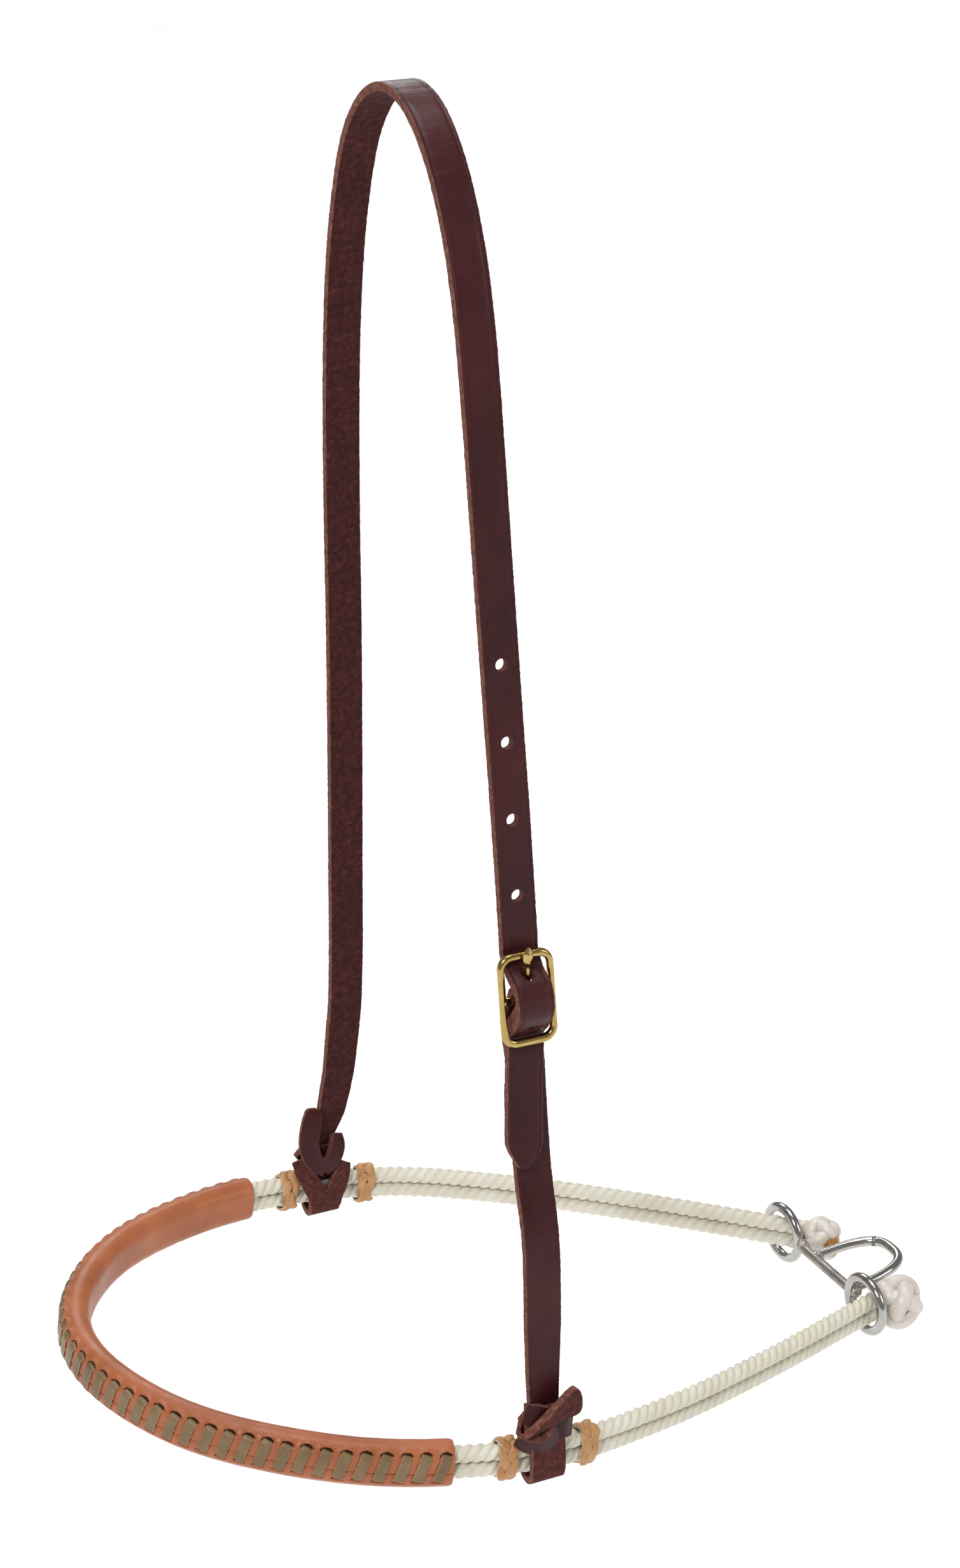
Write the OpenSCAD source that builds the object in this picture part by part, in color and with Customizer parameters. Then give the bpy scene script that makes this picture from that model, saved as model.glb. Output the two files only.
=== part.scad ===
// Rope noseband on a latigo headstall, all sizes in millimetres.
// Origin: inner face of the crown strap at the top of its arch.
// +X runs from the nose towards the chin, -Y is the buckle (near) side, +Z is up.

/* [Headstall leather] */
// Width of the crown and cheek straps
strap_w = 12.7; // [12:0.1:13.2]
// Thickness of the crown strap
strap_t = 3.0; // [2.6:0.1:3.2]
// Thickness of the cheek strap
cheek_t = 2.6; // [2.2:0.1:2.8]
// Turn of the headstall about the vertical, in degrees
headstall_yaw = 5.78; // [4:0.1:8]
// Spacing of the adjustment holes
hole_pitch = 25.4; // [22:0.1:27]
// Diameter of an adjustment hole
hole_d = 4.1; // [3.5:0.1:4.5]

/* [Buckle] */
// Outside width of the buckle frame
buckle_w = 20; // [19:0.1:21]
// Outside height of the buckle frame
buckle_h = 32; // [31:0.1:33]
// Diameter of the frame's bars
buckle_wire = 2.7; // [2.4:0.1:2.8]
// Diameter of the tongue's shaft
tongue_d = 2.2; // [2:0.1:2.4]

/* [Noseband] */
// Diameter of one nose rope
rope_d = 6.2; // [5.8:0.1:6.4]
// Thickness of the leather nose cover
cover_t = 2.2; // [1.8:0.1:2.4]
// Thickness of the braided stopper rings
stopper_t = 1.6; // [1.2:0.1:1.8]
// Length of a stopper ring along the ropes
stopper_w = 7.2; // [6:0.1:7.6]
// Nose-down pitch of the noseband's chin end, in degrees
nose_pitch = 6.5; // [5:0.1:8]
// Roll of the noseband that lifts its far side, in degrees
nose_roll = 1.7; // [0:0.1:2.5]
// Number of lace stitches along the nose cover
lace_count = 44; // [40:1:48]

/* [Tie-down hardware] */
// Wire diameter of the rings, cross bar and dee
wire_d = 3.8; // [3.6:0.1:3.9]
// Radius of a rope ring to the middle of its wire
ring_r = 10.2; // [10.1:0.05:10.3]
// Width of the dee between the middles of its legs
dee_w = 25.8; // [24:0.1:26]
// Reach of the dee from the cross bar
dee_reach = 27; // [25:0.1:28]
// Upward tilt of the dee, in degrees
dee_tilt = 13; // [8:0.1:16]

/* [Hidden] */
$fn = 48;

gap = 0.4;                       // running gap between bodies
face = 0.05;                     // gap between pieces of one body that lie on each other
leather_dark = "#4a1c1e";
leather_tan = "#c8784f";
rope_cream = "#e1dac8";
nickel = "#b9b7b2";

// ---- curves ----------------------------------------------------------
// Catmull-Rom curve through pts, t in 0 .. len(pts)-1
function clamp_i(i, n) = max(0, min(n - 1, i));
function end_point(p, i) = i < 0 ? 2 * p[0] - p[1]
    : i >= len(p) ? 2 * p[len(p) - 1] - p[len(p) - 2] : p[i];
function curve(p, t) =
    let (i = clamp_i(floor(t), len(p) - 1), f = t - i,
        a = end_point(p, i - 1), b = p[i], c = end_point(p, i + 1), d = end_point(p, i + 2))
    0.5 * (2 * b + (c - a) * f + (2 * a - 5 * b + 4 * c - d) * f * f
        + (3 * b - a - 3 * c + d) * f * f * f);
function tangent(p, t) =
    let (v = curve(p, min(t + 0.01, len(p) - 1)) - curve(p, max(t - 0.01, 0))) v / norm(v);
function samples(p, per_span) =
    [for (k = [0 : (len(p) - 1) * per_span]) curve(p, k / per_span)];
function find_x(p, x, lo, hi, n = 24) =
    n == 0 ? (lo + hi) / 2
    : let (m = (lo + hi) / 2) curve(p, m)[0] < x ? find_x(p, x, m, hi, n - 1) : find_x(p, x, lo, m, n - 1);
function left_of(v) = [-v[1], v[0]];
function side_at(q, i) =
    let (v = q[min(i + 1, len(q) - 1)] - q[max(i - 1, 0)]) left_of(v / norm(v));
// closed outline of a ribbon of thickness t along the points q
function ribbon(q, t) = concat(
    [for (i = [0 : len(q) - 1]) q[i] + side_at(q, i) * t / 2],
    [for (i = [len(q) - 1 : -1 : 0]) q[i] - side_at(q, i) * t / 2]);

// ---- frames ----------------------------------------------------------
nose_at = [6.15, 0, -438];
module in_headstall() rotate([0, 0, headstall_yaw]) children();
module in_noseband() translate(nose_at) rotate([nose_roll, 0, 0]) rotate([0, nose_pitch, 0]) children();
// outline drawn as (across, up) becomes a band of width w in the headstall
module band_of(w) rotate([90, 0, 90]) translate([0, 0, -w / 2]) linear_extrude(w) children();

// ---- headstall outline -----------------------------------------------
pivot_near = [-93.8, -417.1];    // near strap end, (across, up)
pivot_far = [93.8, -409.5];      // far strap end
buckle_at = [-82.2, -276];       // middle of the centre bar
buckle_lean = 6.6;
bar_up = [sin(buckle_lean), cos(buckle_lean)];
bar_out = [-cos(buckle_lean), sin(buckle_lean)];
function at_buckle(q) = buckle_at + bar_up * q[0] + bar_out * q[1];
bar_t = buckle_h / 2 - buckle_wire / 2;      // middle of the top and bottom bars
behind_bar = -buckle_wire / 2 - 1.2 - strap_t / 2;
fold_in = buckle_wire / 2 + gap;
fold_mid = fold_in + cheek_t / 2;
over_fold = fold_in + cheek_t + strap_t / 2 + 0.2;
under_tail = behind_bar - strap_t / 2 - cheek_t / 2 - 0.8;
second_ply = under_tail - cheek_t - 1.2;

far_side = [pivot_far, [87, -380], [79, -333], [75, -290], [71, -245], [67.5, -200], [64.5, -150],
    [60.5, -105], [54.5, -69], [46, -41], [34.5, -18.5], [18.5, -4], [0, 1.5]];
near_top = [[-18.5, -3.5], [-34, -18], [-45, -38], [-51.5, -60], [-56, -88], [-60.5, -125],
    [-66.5, -175], [-71.5, -215]];
buckle_run = [for (q = [[30, behind_bar + 0.2], [19, behind_bar], [bar_t - 0.6, behind_bar], [8.6, -0.5], [4.5, over_fold - 1],
    [0, over_fold], [-4.2, over_fold - 0.8], [-8.8, 1.2], [1 - bar_t, behind_bar - 0.1], [-19, behind_bar]]) at_buckle(q)];
crown_line = samples(concat(far_side, near_top, buckle_run), 5);
tail_line = [for (q = [[-18.9, behind_bar], [-32, behind_bar], [-46, behind_bar + 0.8], [-58.5, behind_bar + 2]]) at_buckle(q)];
// the cheek strap: inner ply up, round the centre bar, then down to the near knot
fold_arc = [for (a = [156 : -16 : -36]) at_buckle([fold_mid * sin(a), fold_mid * cos(a)])];
inner_ply = [for (q = [[-29, second_ply], [-19, second_ply], [-10.5, second_ply + 0.6]]) at_buckle(q)];
outer_ply = [for (q = [[-7.6, -3.4], [-11.4, -7.2], [-16, under_tail - 0.4], [-25, under_tail],
    [-60, under_tail + 1.6]]) at_buckle(q)];
cheek_low = [[-91.0, -365], pivot_near];
cheek_line = concat(inner_ply, fold_arc, samples(concat(outer_ply, cheek_low), 4));

module strap_end(pivot, t) translate([0, pivot[0], pivot[1]]) rotate([90, 0, 0])
    cylinder(d = strap_w, h = t, center = true);

// slot that the tongue works in, drawn in the buckle's own (X, outward, up) frame
tongue_rise = atan((buckle_wire / 2 + tongue_d / 2 + face) / bar_t);
module in_buckle() in_headstall() translate([0, buckle_at[0], buckle_at[1]])
    rotate([-buckle_lean, 0, 0]) children();
// inside in_buckle, outward is -Y
module along_tongue() rotate([tongue_rise, 0, 0]) children();

module crown_strap() color(leather_dark) difference() {
    in_headstall() union() {
        band_of(strap_w) polygon(ribbon(crown_line, strap_t));
        strap_end(pivot_far, strap_t);
        intersection() {
            band_of(strap_w) polygon(ribbon(samples(tail_line, 5), strap_t));
            tail_shape();
        }
    }
    in_buckle() along_tongue() translate([0, -0.7, 8.5]) cube([3.4, 5.4, 12], center = true);
    for (k = [1 : 4]) adjust_hole(k * hole_pitch + 9.5);
    in_buckle() translate([0, 0, 9.5 - hole_pitch * 0.93]) rotate([90, 0, 0])
        translate([0, 0, -1]) cylinder(d = hole_d, h = 20, center = true);
}
// pointed end of the tail, as an area in the (X, up) plane
module tail_shape() translate([0, buckle_at[0], buckle_at[1]]) rotate([90 - buckle_lean, 0, 0])
    linear_extrude(60, center = true)
        polygon([[-strap_w / 2, 0], [-strap_w / 2, -46], [-4.5, -50], [-1.2, -57.6], [1.6, -57.6],
            [strap_w / 2, -47], [strap_w / 2, 0]]);
// one hole at a distance up the strap from the centre bar
module adjust_hole(up) {
    line = concat([at_buckle([30, behind_bar])], [for (i = [len(near_top) - 1 : -1 : 3]) near_top[i]]);
    centre = hole_place(line, up - 30);
    in_headstall() translate([0, centre[0], centre[1]]) rotate([90 - 6.8, 0, 0])
        cylinder(d = hole_d, h = 12, center = true);
}
function hole_place(line, d, i = 0) = d < 0 ? line[0] + (line[0] - line[1]) / norm(line[0] - line[1]) * -d
    : let (s = norm(line[i + 1] - line[i]))
    d <= s || i >= len(line) - 2 ? line[i] + (line[i + 1] - line[i]) * d / s : hole_place(line, d - s, i + 1);

module cheek_strap() color(leather_dark) difference() {
    in_headstall() union() {
        band_of(strap_w) polygon(ribbon(cheek_line, cheek_t));
        strap_end(pivot_near, cheek_t);
    }
    in_buckle() translate([0, 0, 1.2]) cube([4.2, 14, 8.4], center = true);
}
// thread bars that hold the folded end of the cheek strap, seen from inside
module cheek_fold_stitching() color("#6b5a3a") in_headstall()
    for (side = [-1, 1], k = [0 : 3])
        translate([side * 4.2, at_buckle([-18.5 - k * 2.6, 0])[0], at_buckle([-18.5 - k * 2.6, 0])[1]])
            rotate([-buckle_lean, 0, 0]) translate([0, -(second_ply - cheek_t / 2 - 0.35), 0])
                rotate([0, 8 * side, 0]) cylinder(d = 0.6, h = 2, center = true);

// ---- buckle ----------------------------------------------------------
corner_r = 4;
module corner(x, z, turn) translate([x, 0, z]) rotate([90, 0, 0]) rotate([0, 0, turn])
    rotate_extrude(angle = 90) translate([corner_r, 0]) circle(d = buckle_wire);
module buckle_frame() color("#b5914a") in_buckle() union() {
    half_x = buckle_w / 2 - buckle_wire / 2;
    for (s = [-1, 1]) {
        translate([s * half_x, 0, 0]) cylinder(d = buckle_wire, h = 2 * (bar_t - corner_r), center = true);
        translate([0, 0, s * bar_t]) rotate([0, 90, 0])
            cylinder(d = buckle_wire, h = 2 * (half_x - corner_r), center = true);
    }
    corner(half_x - corner_r, bar_t - corner_r, 0);
    corner(-half_x + corner_r, bar_t - corner_r, 90);
    corner(-half_x + corner_r, -bar_t + corner_r, 180);
    corner(half_x - corner_r, -bar_t + corner_r, 270);
    rotate([0, 90, 0]) cylinder(d = buckle_wire, h = 2 * half_x, center = true);
}
module buckle_tongue() color("#c4a052") in_buckle() difference() {
    union() {
        rotate([0, 90, 0]) cylinder(d = buckle_wire + 2.4, h = 3.2, center = true);
        along_tongue() translate([0, 0, 1]) cylinder(d = tongue_d, h = bar_t + 0.6);
        along_tongue() translate([0, -0.1, bar_t - 1.6]) rotate([90, 0, 0])
            linear_extrude(2.1, center = true)
                polygon([[-1.3, 0], [-1.6, 1.6], [0, 4.6], [1.6, 1.6], [1.3, 0]]);
    }
    rotate([0, 90, 0]) cylinder(d = buckle_wire + 0.2, h = 5, center = true);
    translate([0, 0, bar_t]) rotate([0, 90, 0]) cylinder(d = buckle_wire + 0.1, h = 8, center = true);
}

// ---- noseband loop ---------------------------------------------------
// middle of the rope pair on the far side, nose to chin, then mirrored
half_loop = [[-138.3, 0], [-128.6, 34.5], [-102.3, 65.3], [-55.3, 88.6], [0, 93.3],
    [49.1, 79.3], [98.1, 56.9], [148.7, 29.8], [161, 23.3]];
mirrored = [for (i = [len(half_loop) - 1 : -1 : 1]) [half_loop[i][0], -half_loop[i][1]]];
loop_line = concat(mirrored, half_loop);
last_t = len(loop_line) - 1;
nose_t = len(half_loop) - 1;     // parameter of the middle of the nose
function far_t(x) = find_x(loop_line, x, nose_t, last_t);
function near_t(x) = 2 * nose_t - far_t(x);
knot_flat = 4.6;                 // from the middle of an end knot to its flat face
near_knot_at = [166.6, -24.2];
far_knot_at = [157.6, 23.5];
near_knot_d = 15.8;
far_knot_d = 14;
rope_turn = 28;                  // heading of the ropes where they end
near_end_t = near_t(near_knot_at[0] - 6.2);
far_end_t = far_t(far_knot_at[0] - 4.4);

// ring of points for a section outline at parameter t, lifted by z
function place(section, t, z) =
    let (p = curve(loop_line, t), v = tangent(loop_line, t), s = left_of(v))
    [for (q = section) [p[0] + s[0] * q[0], p[1] + s[1] * q[0], q[1] + z]];
function round_section(r, n) = [for (i = [0 : n - 1]) [r * cos(360 * i / n), r * sin(360 * i / n)]];
function stadium_section(r, half, n) = [for (i = [0 : n - 1])
    let (a = 360 * i / n) [r * cos(a), r * sin(a) + (i < n / 2 ? half : -half)]];
// closed tube: rings are lists of points, all of one length
module tube(rings) {
    n = len(rings[0]);
    m = len(rings);
    polyhedron(
        points = [for (r = rings) for (q = r) q],
        faces = concat(
            [[for (j = [0 : n - 1]) j]],
            [[for (j = [n - 1 : -1 : 0]) (m - 1) * n + j]],
            [for (i = [0 : m - 2], j = [0 : n - 1])
                [i * n + j, (i + 1) * n + j, (i + 1) * n + (j + 1) % n, i * n + (j + 1) % n]]));
}
module along_loop(section, t0, t1, count, z = 0)
    tube([for (k = [0 : count]) place(section, t0 + (t1 - t0) * k / count, z)]);
module nose_rope(z) color(rope_cream) in_noseband()
    along_loop(round_section(rope_d / 2 - face, 10), near_end_t, far_end_t, 72, z);
module upper_nose_rope() nose_rope(rope_d / 2);
module lower_nose_rope() nose_rope(-rope_d / 2);

cover_near_t = near_t(-31.5);
cover_far_t = far_t(-54.5);
module nose_cover() color(leather_tan) in_noseband() difference() {
    along_loop(stadium_section(rope_d / 2 + cover_t, rope_d / 2, 20), cover_near_t, cover_far_t, 40);
    along_loop(stadium_section(rope_d / 2 + 0.12, rope_d / 2, 20), cover_near_t - 0.03, cover_far_t + 0.03, 41);
}
// a frame on the loop: +Y outward from the loop, +X along it
module on_loop(t) {
    p = curve(loop_line, t);
    v = tangent(loop_line, t);
    translate([p[0], p[1], 0]) rotate([0, 0, atan2(v[1], v[0])]) children();
}
module cover_lacing() color("#8c7048") in_noseband()
    for (k = [0 : lace_count - 1]) {
        span = cover_far_t - cover_near_t;
        t = cover_near_t + span * (k + 0.5) / lace_count;
        on_loop(t) translate([0, rope_d / 2 + cover_t + 0.5, -0.6]) rotate([0, 14, 0])
            cube([3.3, 0.7, 9.5], center = true);
    }

// stadium ring round the rope pair, its length along the ropes
module pair_ring(r_in, r_out, length) rotate([90, 0, 90]) linear_extrude(length, center = true)
    difference() {
        stadium(r_out);
        stadium(r_in);
    }
module stadium(r) {
    for (s = [-1, 1]) translate([0, s * rope_d / 2]) circle(r);
    square([2 * r, rope_d], center = true);
}
module stopper(t) color("#b9793d") in_noseband() on_loop(t)
    pair_ring(rope_d / 2 + 0.06, rope_d / 2 + stopper_t, stopper_w);
near_knot_x = 0.4;
far_knot_x = -23.6;
module near_front_stopper() stopper(near_t(near_knot_x - 13.4));
module near_rear_stopper() stopper(near_t(near_knot_x + 16.5));
module far_front_stopper() stopper(far_t(far_knot_x - 13));
module far_rear_stopper() stopper(far_t(far_knot_x + 16.9));

// crown knot of both ropes, flat where the ropes enter it; turn is the ropes' heading
module end_knot(centre, turn, size) color("#ece6da") in_noseband()
    translate([centre[0], centre[1], 0]) rotate([0, 0, turn]) rotate([0, 90, 0])
        rotate_extrude() intersection() {
            circle(d = size);
            translate([0, -knot_flat]) square([size, 2 * size]);
        }
module near_end_knot() end_knot(near_knot_at, rope_turn, near_knot_d);
module far_end_knot() end_knot(far_knot_at, -rope_turn, far_knot_d);

// ---- blood knots -----------------------------------------------------
band_in = rope_d / 2 + 0.5;
band_out = band_in + strap_t;
pivot_up = 24;                   // strap end above the middle of the rope pair
tail_t = 2.7;                    // thickness of the tucked tail
tail_turn = 28;                  // lean of the tucked tail, in degrees
// across: side of the loop, dir: +1 when outward is +Y
module blood_knot(pivot, dir, t, shift) color(leather_dark) union() {
    in_noseband() on_loop(t) pair_ring(band_in, band_out, strap_w);
    knot_body(pivot, dir, shift);
}
// shift: how far the body of the knot sits behind the strap's middle
module knot_body(pivot, dir, shift) in_headstall()
    translate([0, pivot[0], pivot[1]]) difference() {
        union() {
            translate([-shift, dir * 0.4, -pivot_up + 14.8]) cube([16, 9, 12.4], center = true);
            translate([0, dir * (strap_t / 2 + gap + tail_t / 2 + 0.1), -3]) rotate([90, 0, 0])
                rotate([0, 0, dir * tail_turn]) linear_extrude(tail_t, center = true) tail_plate();
        }
        rotate([90, 0, 0]) cylinder(r = strap_w / 2 + gap, h = strap_t + 1.2, center = true);
        translate([0, 0, 10]) cube([strap_w + 2 * gap + 9, strap_t + 1.2, 20], center = true);
    }
// rounded tail of the tuck, drawn with its long side upright
module tail_plate() {
    translate([0, 6]) circle(d = 10);
    translate([-5, -10]) square([10, 16]);
}
module near_blood_knot() blood_knot(pivot_near, -1, near_t(near_knot_x), 1.6);
module far_blood_knot() blood_knot(pivot_far, 1, far_t(far_knot_x), 4);

// ---- tie-down hardware -----------------------------------------------
bar_at = [151, 2.3, -0.3];       // middle of the cross bar
hardware_yaw = 8;
hardware_roll = -1.6;            // the far ring hangs a little lower
ring_side = 28.9;
ring_ahead = -0.6;
ring_yaw = 3;
ring_lean = 6;                   // tops of the rings lean back, away from the dee
bar_length = 38;
module in_hardware() in_noseband() translate(bar_at) rotate([hardware_roll, 0, hardware_yaw]) children();
module ring_at(across) in_hardware() translate([ring_ahead, across, 0])
    rotate([0, -ring_lean, ring_yaw]) rotate([0, 90, 0])
        rotate_extrude() translate([ring_r, 0]) circle(d = wire_d);
module near_rope_ring() color(nickel) ring_at(-ring_side);
module far_rope_ring() color(nickel) ring_at(ring_side);
module cross_bar() color(nickel) in_hardware() rotate([90, 0, 0])
    cylinder(d = wire_d, h = bar_length, center = true);
// half-oval outline of the dee, ends on the bar
dee_side = -2.9;
dee_round = 0.7;
function power(v, e) = sign(v) * pow(abs(v), e);
dee_steps = 32;
dee_line = [for (i = [0 : dee_steps]) let (a = 180 * i / dee_steps)
    [dee_reach * power(sin(a), dee_round), dee_w / 2 * power(cos(a), dee_round)]];
function dee_ring(i) =
    let (v = dee_line[min(i + 1, dee_steps)] - dee_line[max(i - 1, 0)], s = left_of(v / norm(v)))
    [for (q = round_section(wire_d / 2, 16)) [dee_line[i][0] + s[0] * q[0], dee_line[i][1] + s[1] * q[0], q[1]]];
module tie_down_dee() color(nickel) in_hardware() translate([0, dee_side, 0]) rotate([0, -dee_tilt, 0])
    tube([for (i = [0 : dee_steps]) dee_ring(i)]);
module weld_beads() color("#a9a6a0") in_hardware() {
    translate([0.3, -18.6, 0.9]) sphere(d = 4.8);
    translate([-0.4, 18.8, 0.4]) sphere(d = 4.4);
    for (end = [-1, 1]) translate([2.2, dee_side + end * dee_w / 2 * 0.99, 0.6]) sphere(d = 4.6);
}

crown_strap();
cheek_strap();
cheek_fold_stitching();
buckle_frame();
buckle_tongue();
near_blood_knot();
far_blood_knot();
upper_nose_rope();
lower_nose_rope();
nose_cover();
cover_lacing();
near_front_stopper();
near_rear_stopper();
far_front_stopper();
far_rear_stopper();
near_end_knot();
far_end_knot();
cross_bar();
near_rope_ring();
far_rope_ring();
tie_down_dee();
weld_beads();
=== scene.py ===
"""Rope noseband on a latigo headstall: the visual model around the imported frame."""
import math

import bmesh
import bpy
import numpy as np
from mathutils import Matrix, Vector, noise


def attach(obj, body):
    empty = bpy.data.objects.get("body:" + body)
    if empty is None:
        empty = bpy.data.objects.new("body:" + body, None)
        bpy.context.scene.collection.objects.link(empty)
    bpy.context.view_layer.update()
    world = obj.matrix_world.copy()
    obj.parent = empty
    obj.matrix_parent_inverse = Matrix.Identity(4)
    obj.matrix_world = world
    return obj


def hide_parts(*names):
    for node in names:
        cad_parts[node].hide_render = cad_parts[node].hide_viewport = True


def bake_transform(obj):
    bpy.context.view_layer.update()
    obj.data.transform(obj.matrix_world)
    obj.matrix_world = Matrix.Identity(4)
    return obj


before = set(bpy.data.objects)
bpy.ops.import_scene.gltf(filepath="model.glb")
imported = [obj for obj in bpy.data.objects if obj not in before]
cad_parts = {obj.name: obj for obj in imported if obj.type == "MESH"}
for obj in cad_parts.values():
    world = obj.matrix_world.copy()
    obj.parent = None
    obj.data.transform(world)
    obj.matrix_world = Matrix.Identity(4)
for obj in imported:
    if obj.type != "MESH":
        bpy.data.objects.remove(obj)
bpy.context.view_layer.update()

MM = 0.001

# ---------------------------------------------------------------- camera
CAM_AZIMUTH = math.radians(-18.0)
CAM_ELEVATION = math.radians(22.11)
CAM_ROLL = math.radians(-1.28)
CAM_DISTANCE = 1.040
CAM_TARGET = Vector((0.0175, -0.0094, -0.2308))
CAM_LENS = 70.96


def make_camera():
    """The photograph's viewing angle: azimuth 0 looks along +Y."""
    back = Vector((
        math.sin(CAM_AZIMUTH) * math.cos(CAM_ELEVATION),
        -math.cos(CAM_AZIMUTH) * math.cos(CAM_ELEVATION),
        math.sin(CAM_ELEVATION),
    ))
    right = Vector((math.cos(CAM_AZIMUTH), math.sin(CAM_AZIMUTH), 0))
    up = back.cross(right)
    turned_right = right * math.cos(CAM_ROLL) + up * math.sin(CAM_ROLL)
    turned_up = up * math.cos(CAM_ROLL) - right * math.sin(CAM_ROLL)
    data = bpy.data.cameras.new("camera")
    data.lens = CAM_LENS
    data.sensor_width = 36.0
    data.clip_end = 20.0
    cam = bpy.data.objects.new("camera", data)
    place = Matrix((turned_right, turned_up, back)).transposed().to_4x4()
    place.translation = CAM_TARGET + back * CAM_DISTANCE
    cam.matrix_world = place
    bpy.context.collection.objects.link(cam)
    bpy.context.scene.camera = cam


make_camera()


# ---------------------------------------------------------------- small maths
def unit(v):
    v = np.asarray(v, float)
    return v / np.maximum(np.linalg.norm(v, axis=-1, keepdims=True), 1e-12)


def curve_points(points, per_span):
    """Catmull-Rom curve through points, the same rule as the CAD model's."""
    p = np.asarray(points, float)
    p = np.vstack([2 * p[0] - p[1], p, 2 * p[-1] - p[-2]])
    out = []
    for i in range(1, len(p) - 2):
        a, b, c, d = p[i - 1], p[i], p[i + 1], p[i + 2]
        for k in range(per_span):
            f = k / per_span
            out.append(0.5 * (2 * b + (c - a) * f + (2 * a - 5 * b + 4 * c - d) * f * f
                              + (3 * b - a - 3 * c + d) * f ** 3))
    out.append(p[-2])
    return np.array(out)


def arc_lengths(p):
    return np.concatenate([[0], np.cumsum(np.linalg.norm(np.diff(p, axis=0), axis=1))])


def even(p, step):
    """The same line with evenly spaced points."""
    s = arc_lengths(p)
    n = max(2, int(round(s[-1] / step)) + 1)
    t = np.linspace(0, s[-1], n)
    return np.stack([np.interp(t, s, p[:, k]) for k in range(p.shape[1])], 1)


def tangents(p):
    return unit(np.gradient(p, axis=0))


def smooth_line(p, rounds):
    p = p.copy()
    for _ in range(rounds):
        p[1:-1] = 0.25 * p[:-2] + 0.5 * p[1:-1] + 0.25 * p[2:]
    return p


def power(value, exponent):
    """The size of value raised to exponent, with value's sign."""
    return math.copysign(abs(value) ** exponent, value)


def wobble(p, scale, seed):
    """Smooth noise in -1..1 at a point."""
    return noise.noise(Vector((p[0] * scale + seed, p[1] * scale - seed, p[2] * scale + 2 * seed)))


# ---------------------------------------------------------------- mesh helpers
def smooth_object(name, mesh):
    """mesh, shaded smooth, as an object in the scene."""
    mesh.polygons.foreach_set("use_smooth", [True] * len(mesh.polygons))
    obj = bpy.data.objects.new(name, mesh)
    bpy.context.collection.objects.link(obj)
    return obj


def mesh_object(name, verts, faces, uvs, indices):
    mesh = bpy.data.meshes.new(name)
    mesh.from_pydata([tuple(v) for v in verts], [], faces)
    layer = mesh.uv_layers.new(name="UVMap")
    layer.data.foreach_set("uv", [c for face in uvs for uv in face for c in uv])
    mesh.polygons.foreach_set("material_index", indices)
    mesh.update()
    return smooth_object(name, mesh)


def rings_mesh(name, rings, along, around, indices=None, capped=True, closed=False):
    """A tube from rings of points. along is each ring's length, around each point's,
    both in metres for the UV map; indices gives each strip's material."""
    rings = np.asarray(rings, float)
    m, n = rings.shape[:2]
    verts = rings.reshape(-1, 3)
    faces, uvs, mats = [], [], []
    spans = m if closed else m - 1
    for i in range(spans):
        i2 = (i + 1) % m
        v0, v1 = along[i], along[i + 1] if i + 1 < len(along) else along[i] * 2 - along[i - 1]
        for j in range(n):
            j2 = (j + 1) % n
            u0, u1 = around[j], around[j + 1]
            faces.append((i * n + j, i * n + j2, i2 * n + j2, i2 * n + j))
            uvs.append(((u0, v0), (u1, v0), (u1, v1), (u0, v1)))
            mats.append(indices[j] if indices is not None else 0)
    if capped and not closed:
        cap = indices[-1] if indices is not None else 0
        faces.append(tuple(range(n - 1, -1, -1)))
        uvs.append(tuple((around[j], along[0]) for j in range(n - 1, -1, -1)))
        faces.append(tuple((m - 1) * n + j for j in range(n)))
        uvs.append(tuple((around[j], along[-1]) for j in range(n)))
        mats += [cap, cap]
    return mesh_object(name, verts, faces, uvs, mats)


# across (fraction of half width) and up (fraction of half thickness) round a leather strip
GRAIN_HALF = (0.2, 0.4, 0.6, 0.76, 0.80, 0.84, 0.90, 0.955)
GRAIN_SPOTS = [-a for a in GRAIN_HALF[::-1]] + [0.0] + list(GRAIN_HALF)
GRAIN = [(a, 1.0) for a in GRAIN_SPOTS]
GRAIN_MIDDLE = len(GRAIN_HALF)
RIGHT_EDGE = [(0.99, 0.86), (1.0, 0.6), (1.0, 0.2), (1.0, -0.2), (1.0, -0.6), (0.99, -0.86)]
FLESH = [(a, -1.0) for a in (0.955, 0.75, 0.5, 0.25, 0.0, -0.25, -0.5, -0.75, -0.955)]
LEFT_EDGE = [(-0.99, -0.86), (-1.0, -0.6), (-1.0, -0.2), (-1.0, 0.2), (-1.0, 0.6), (-0.99, 0.86)]
SECTION = GRAIN + RIGHT_EDGE + FLESH + LEFT_EDGE
CREASE_SPOTS = (3, 13)            # the grain points at -0.80 and 0.80
STRIP_MATERIAL = ([0] * (len(GRAIN) - 1) + [1] * (len(RIGHT_EDGE) + 1) + [2] * (len(FLESH) - 1)
                  + [1] * (len(LEFT_EDGE) + 1))


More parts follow.
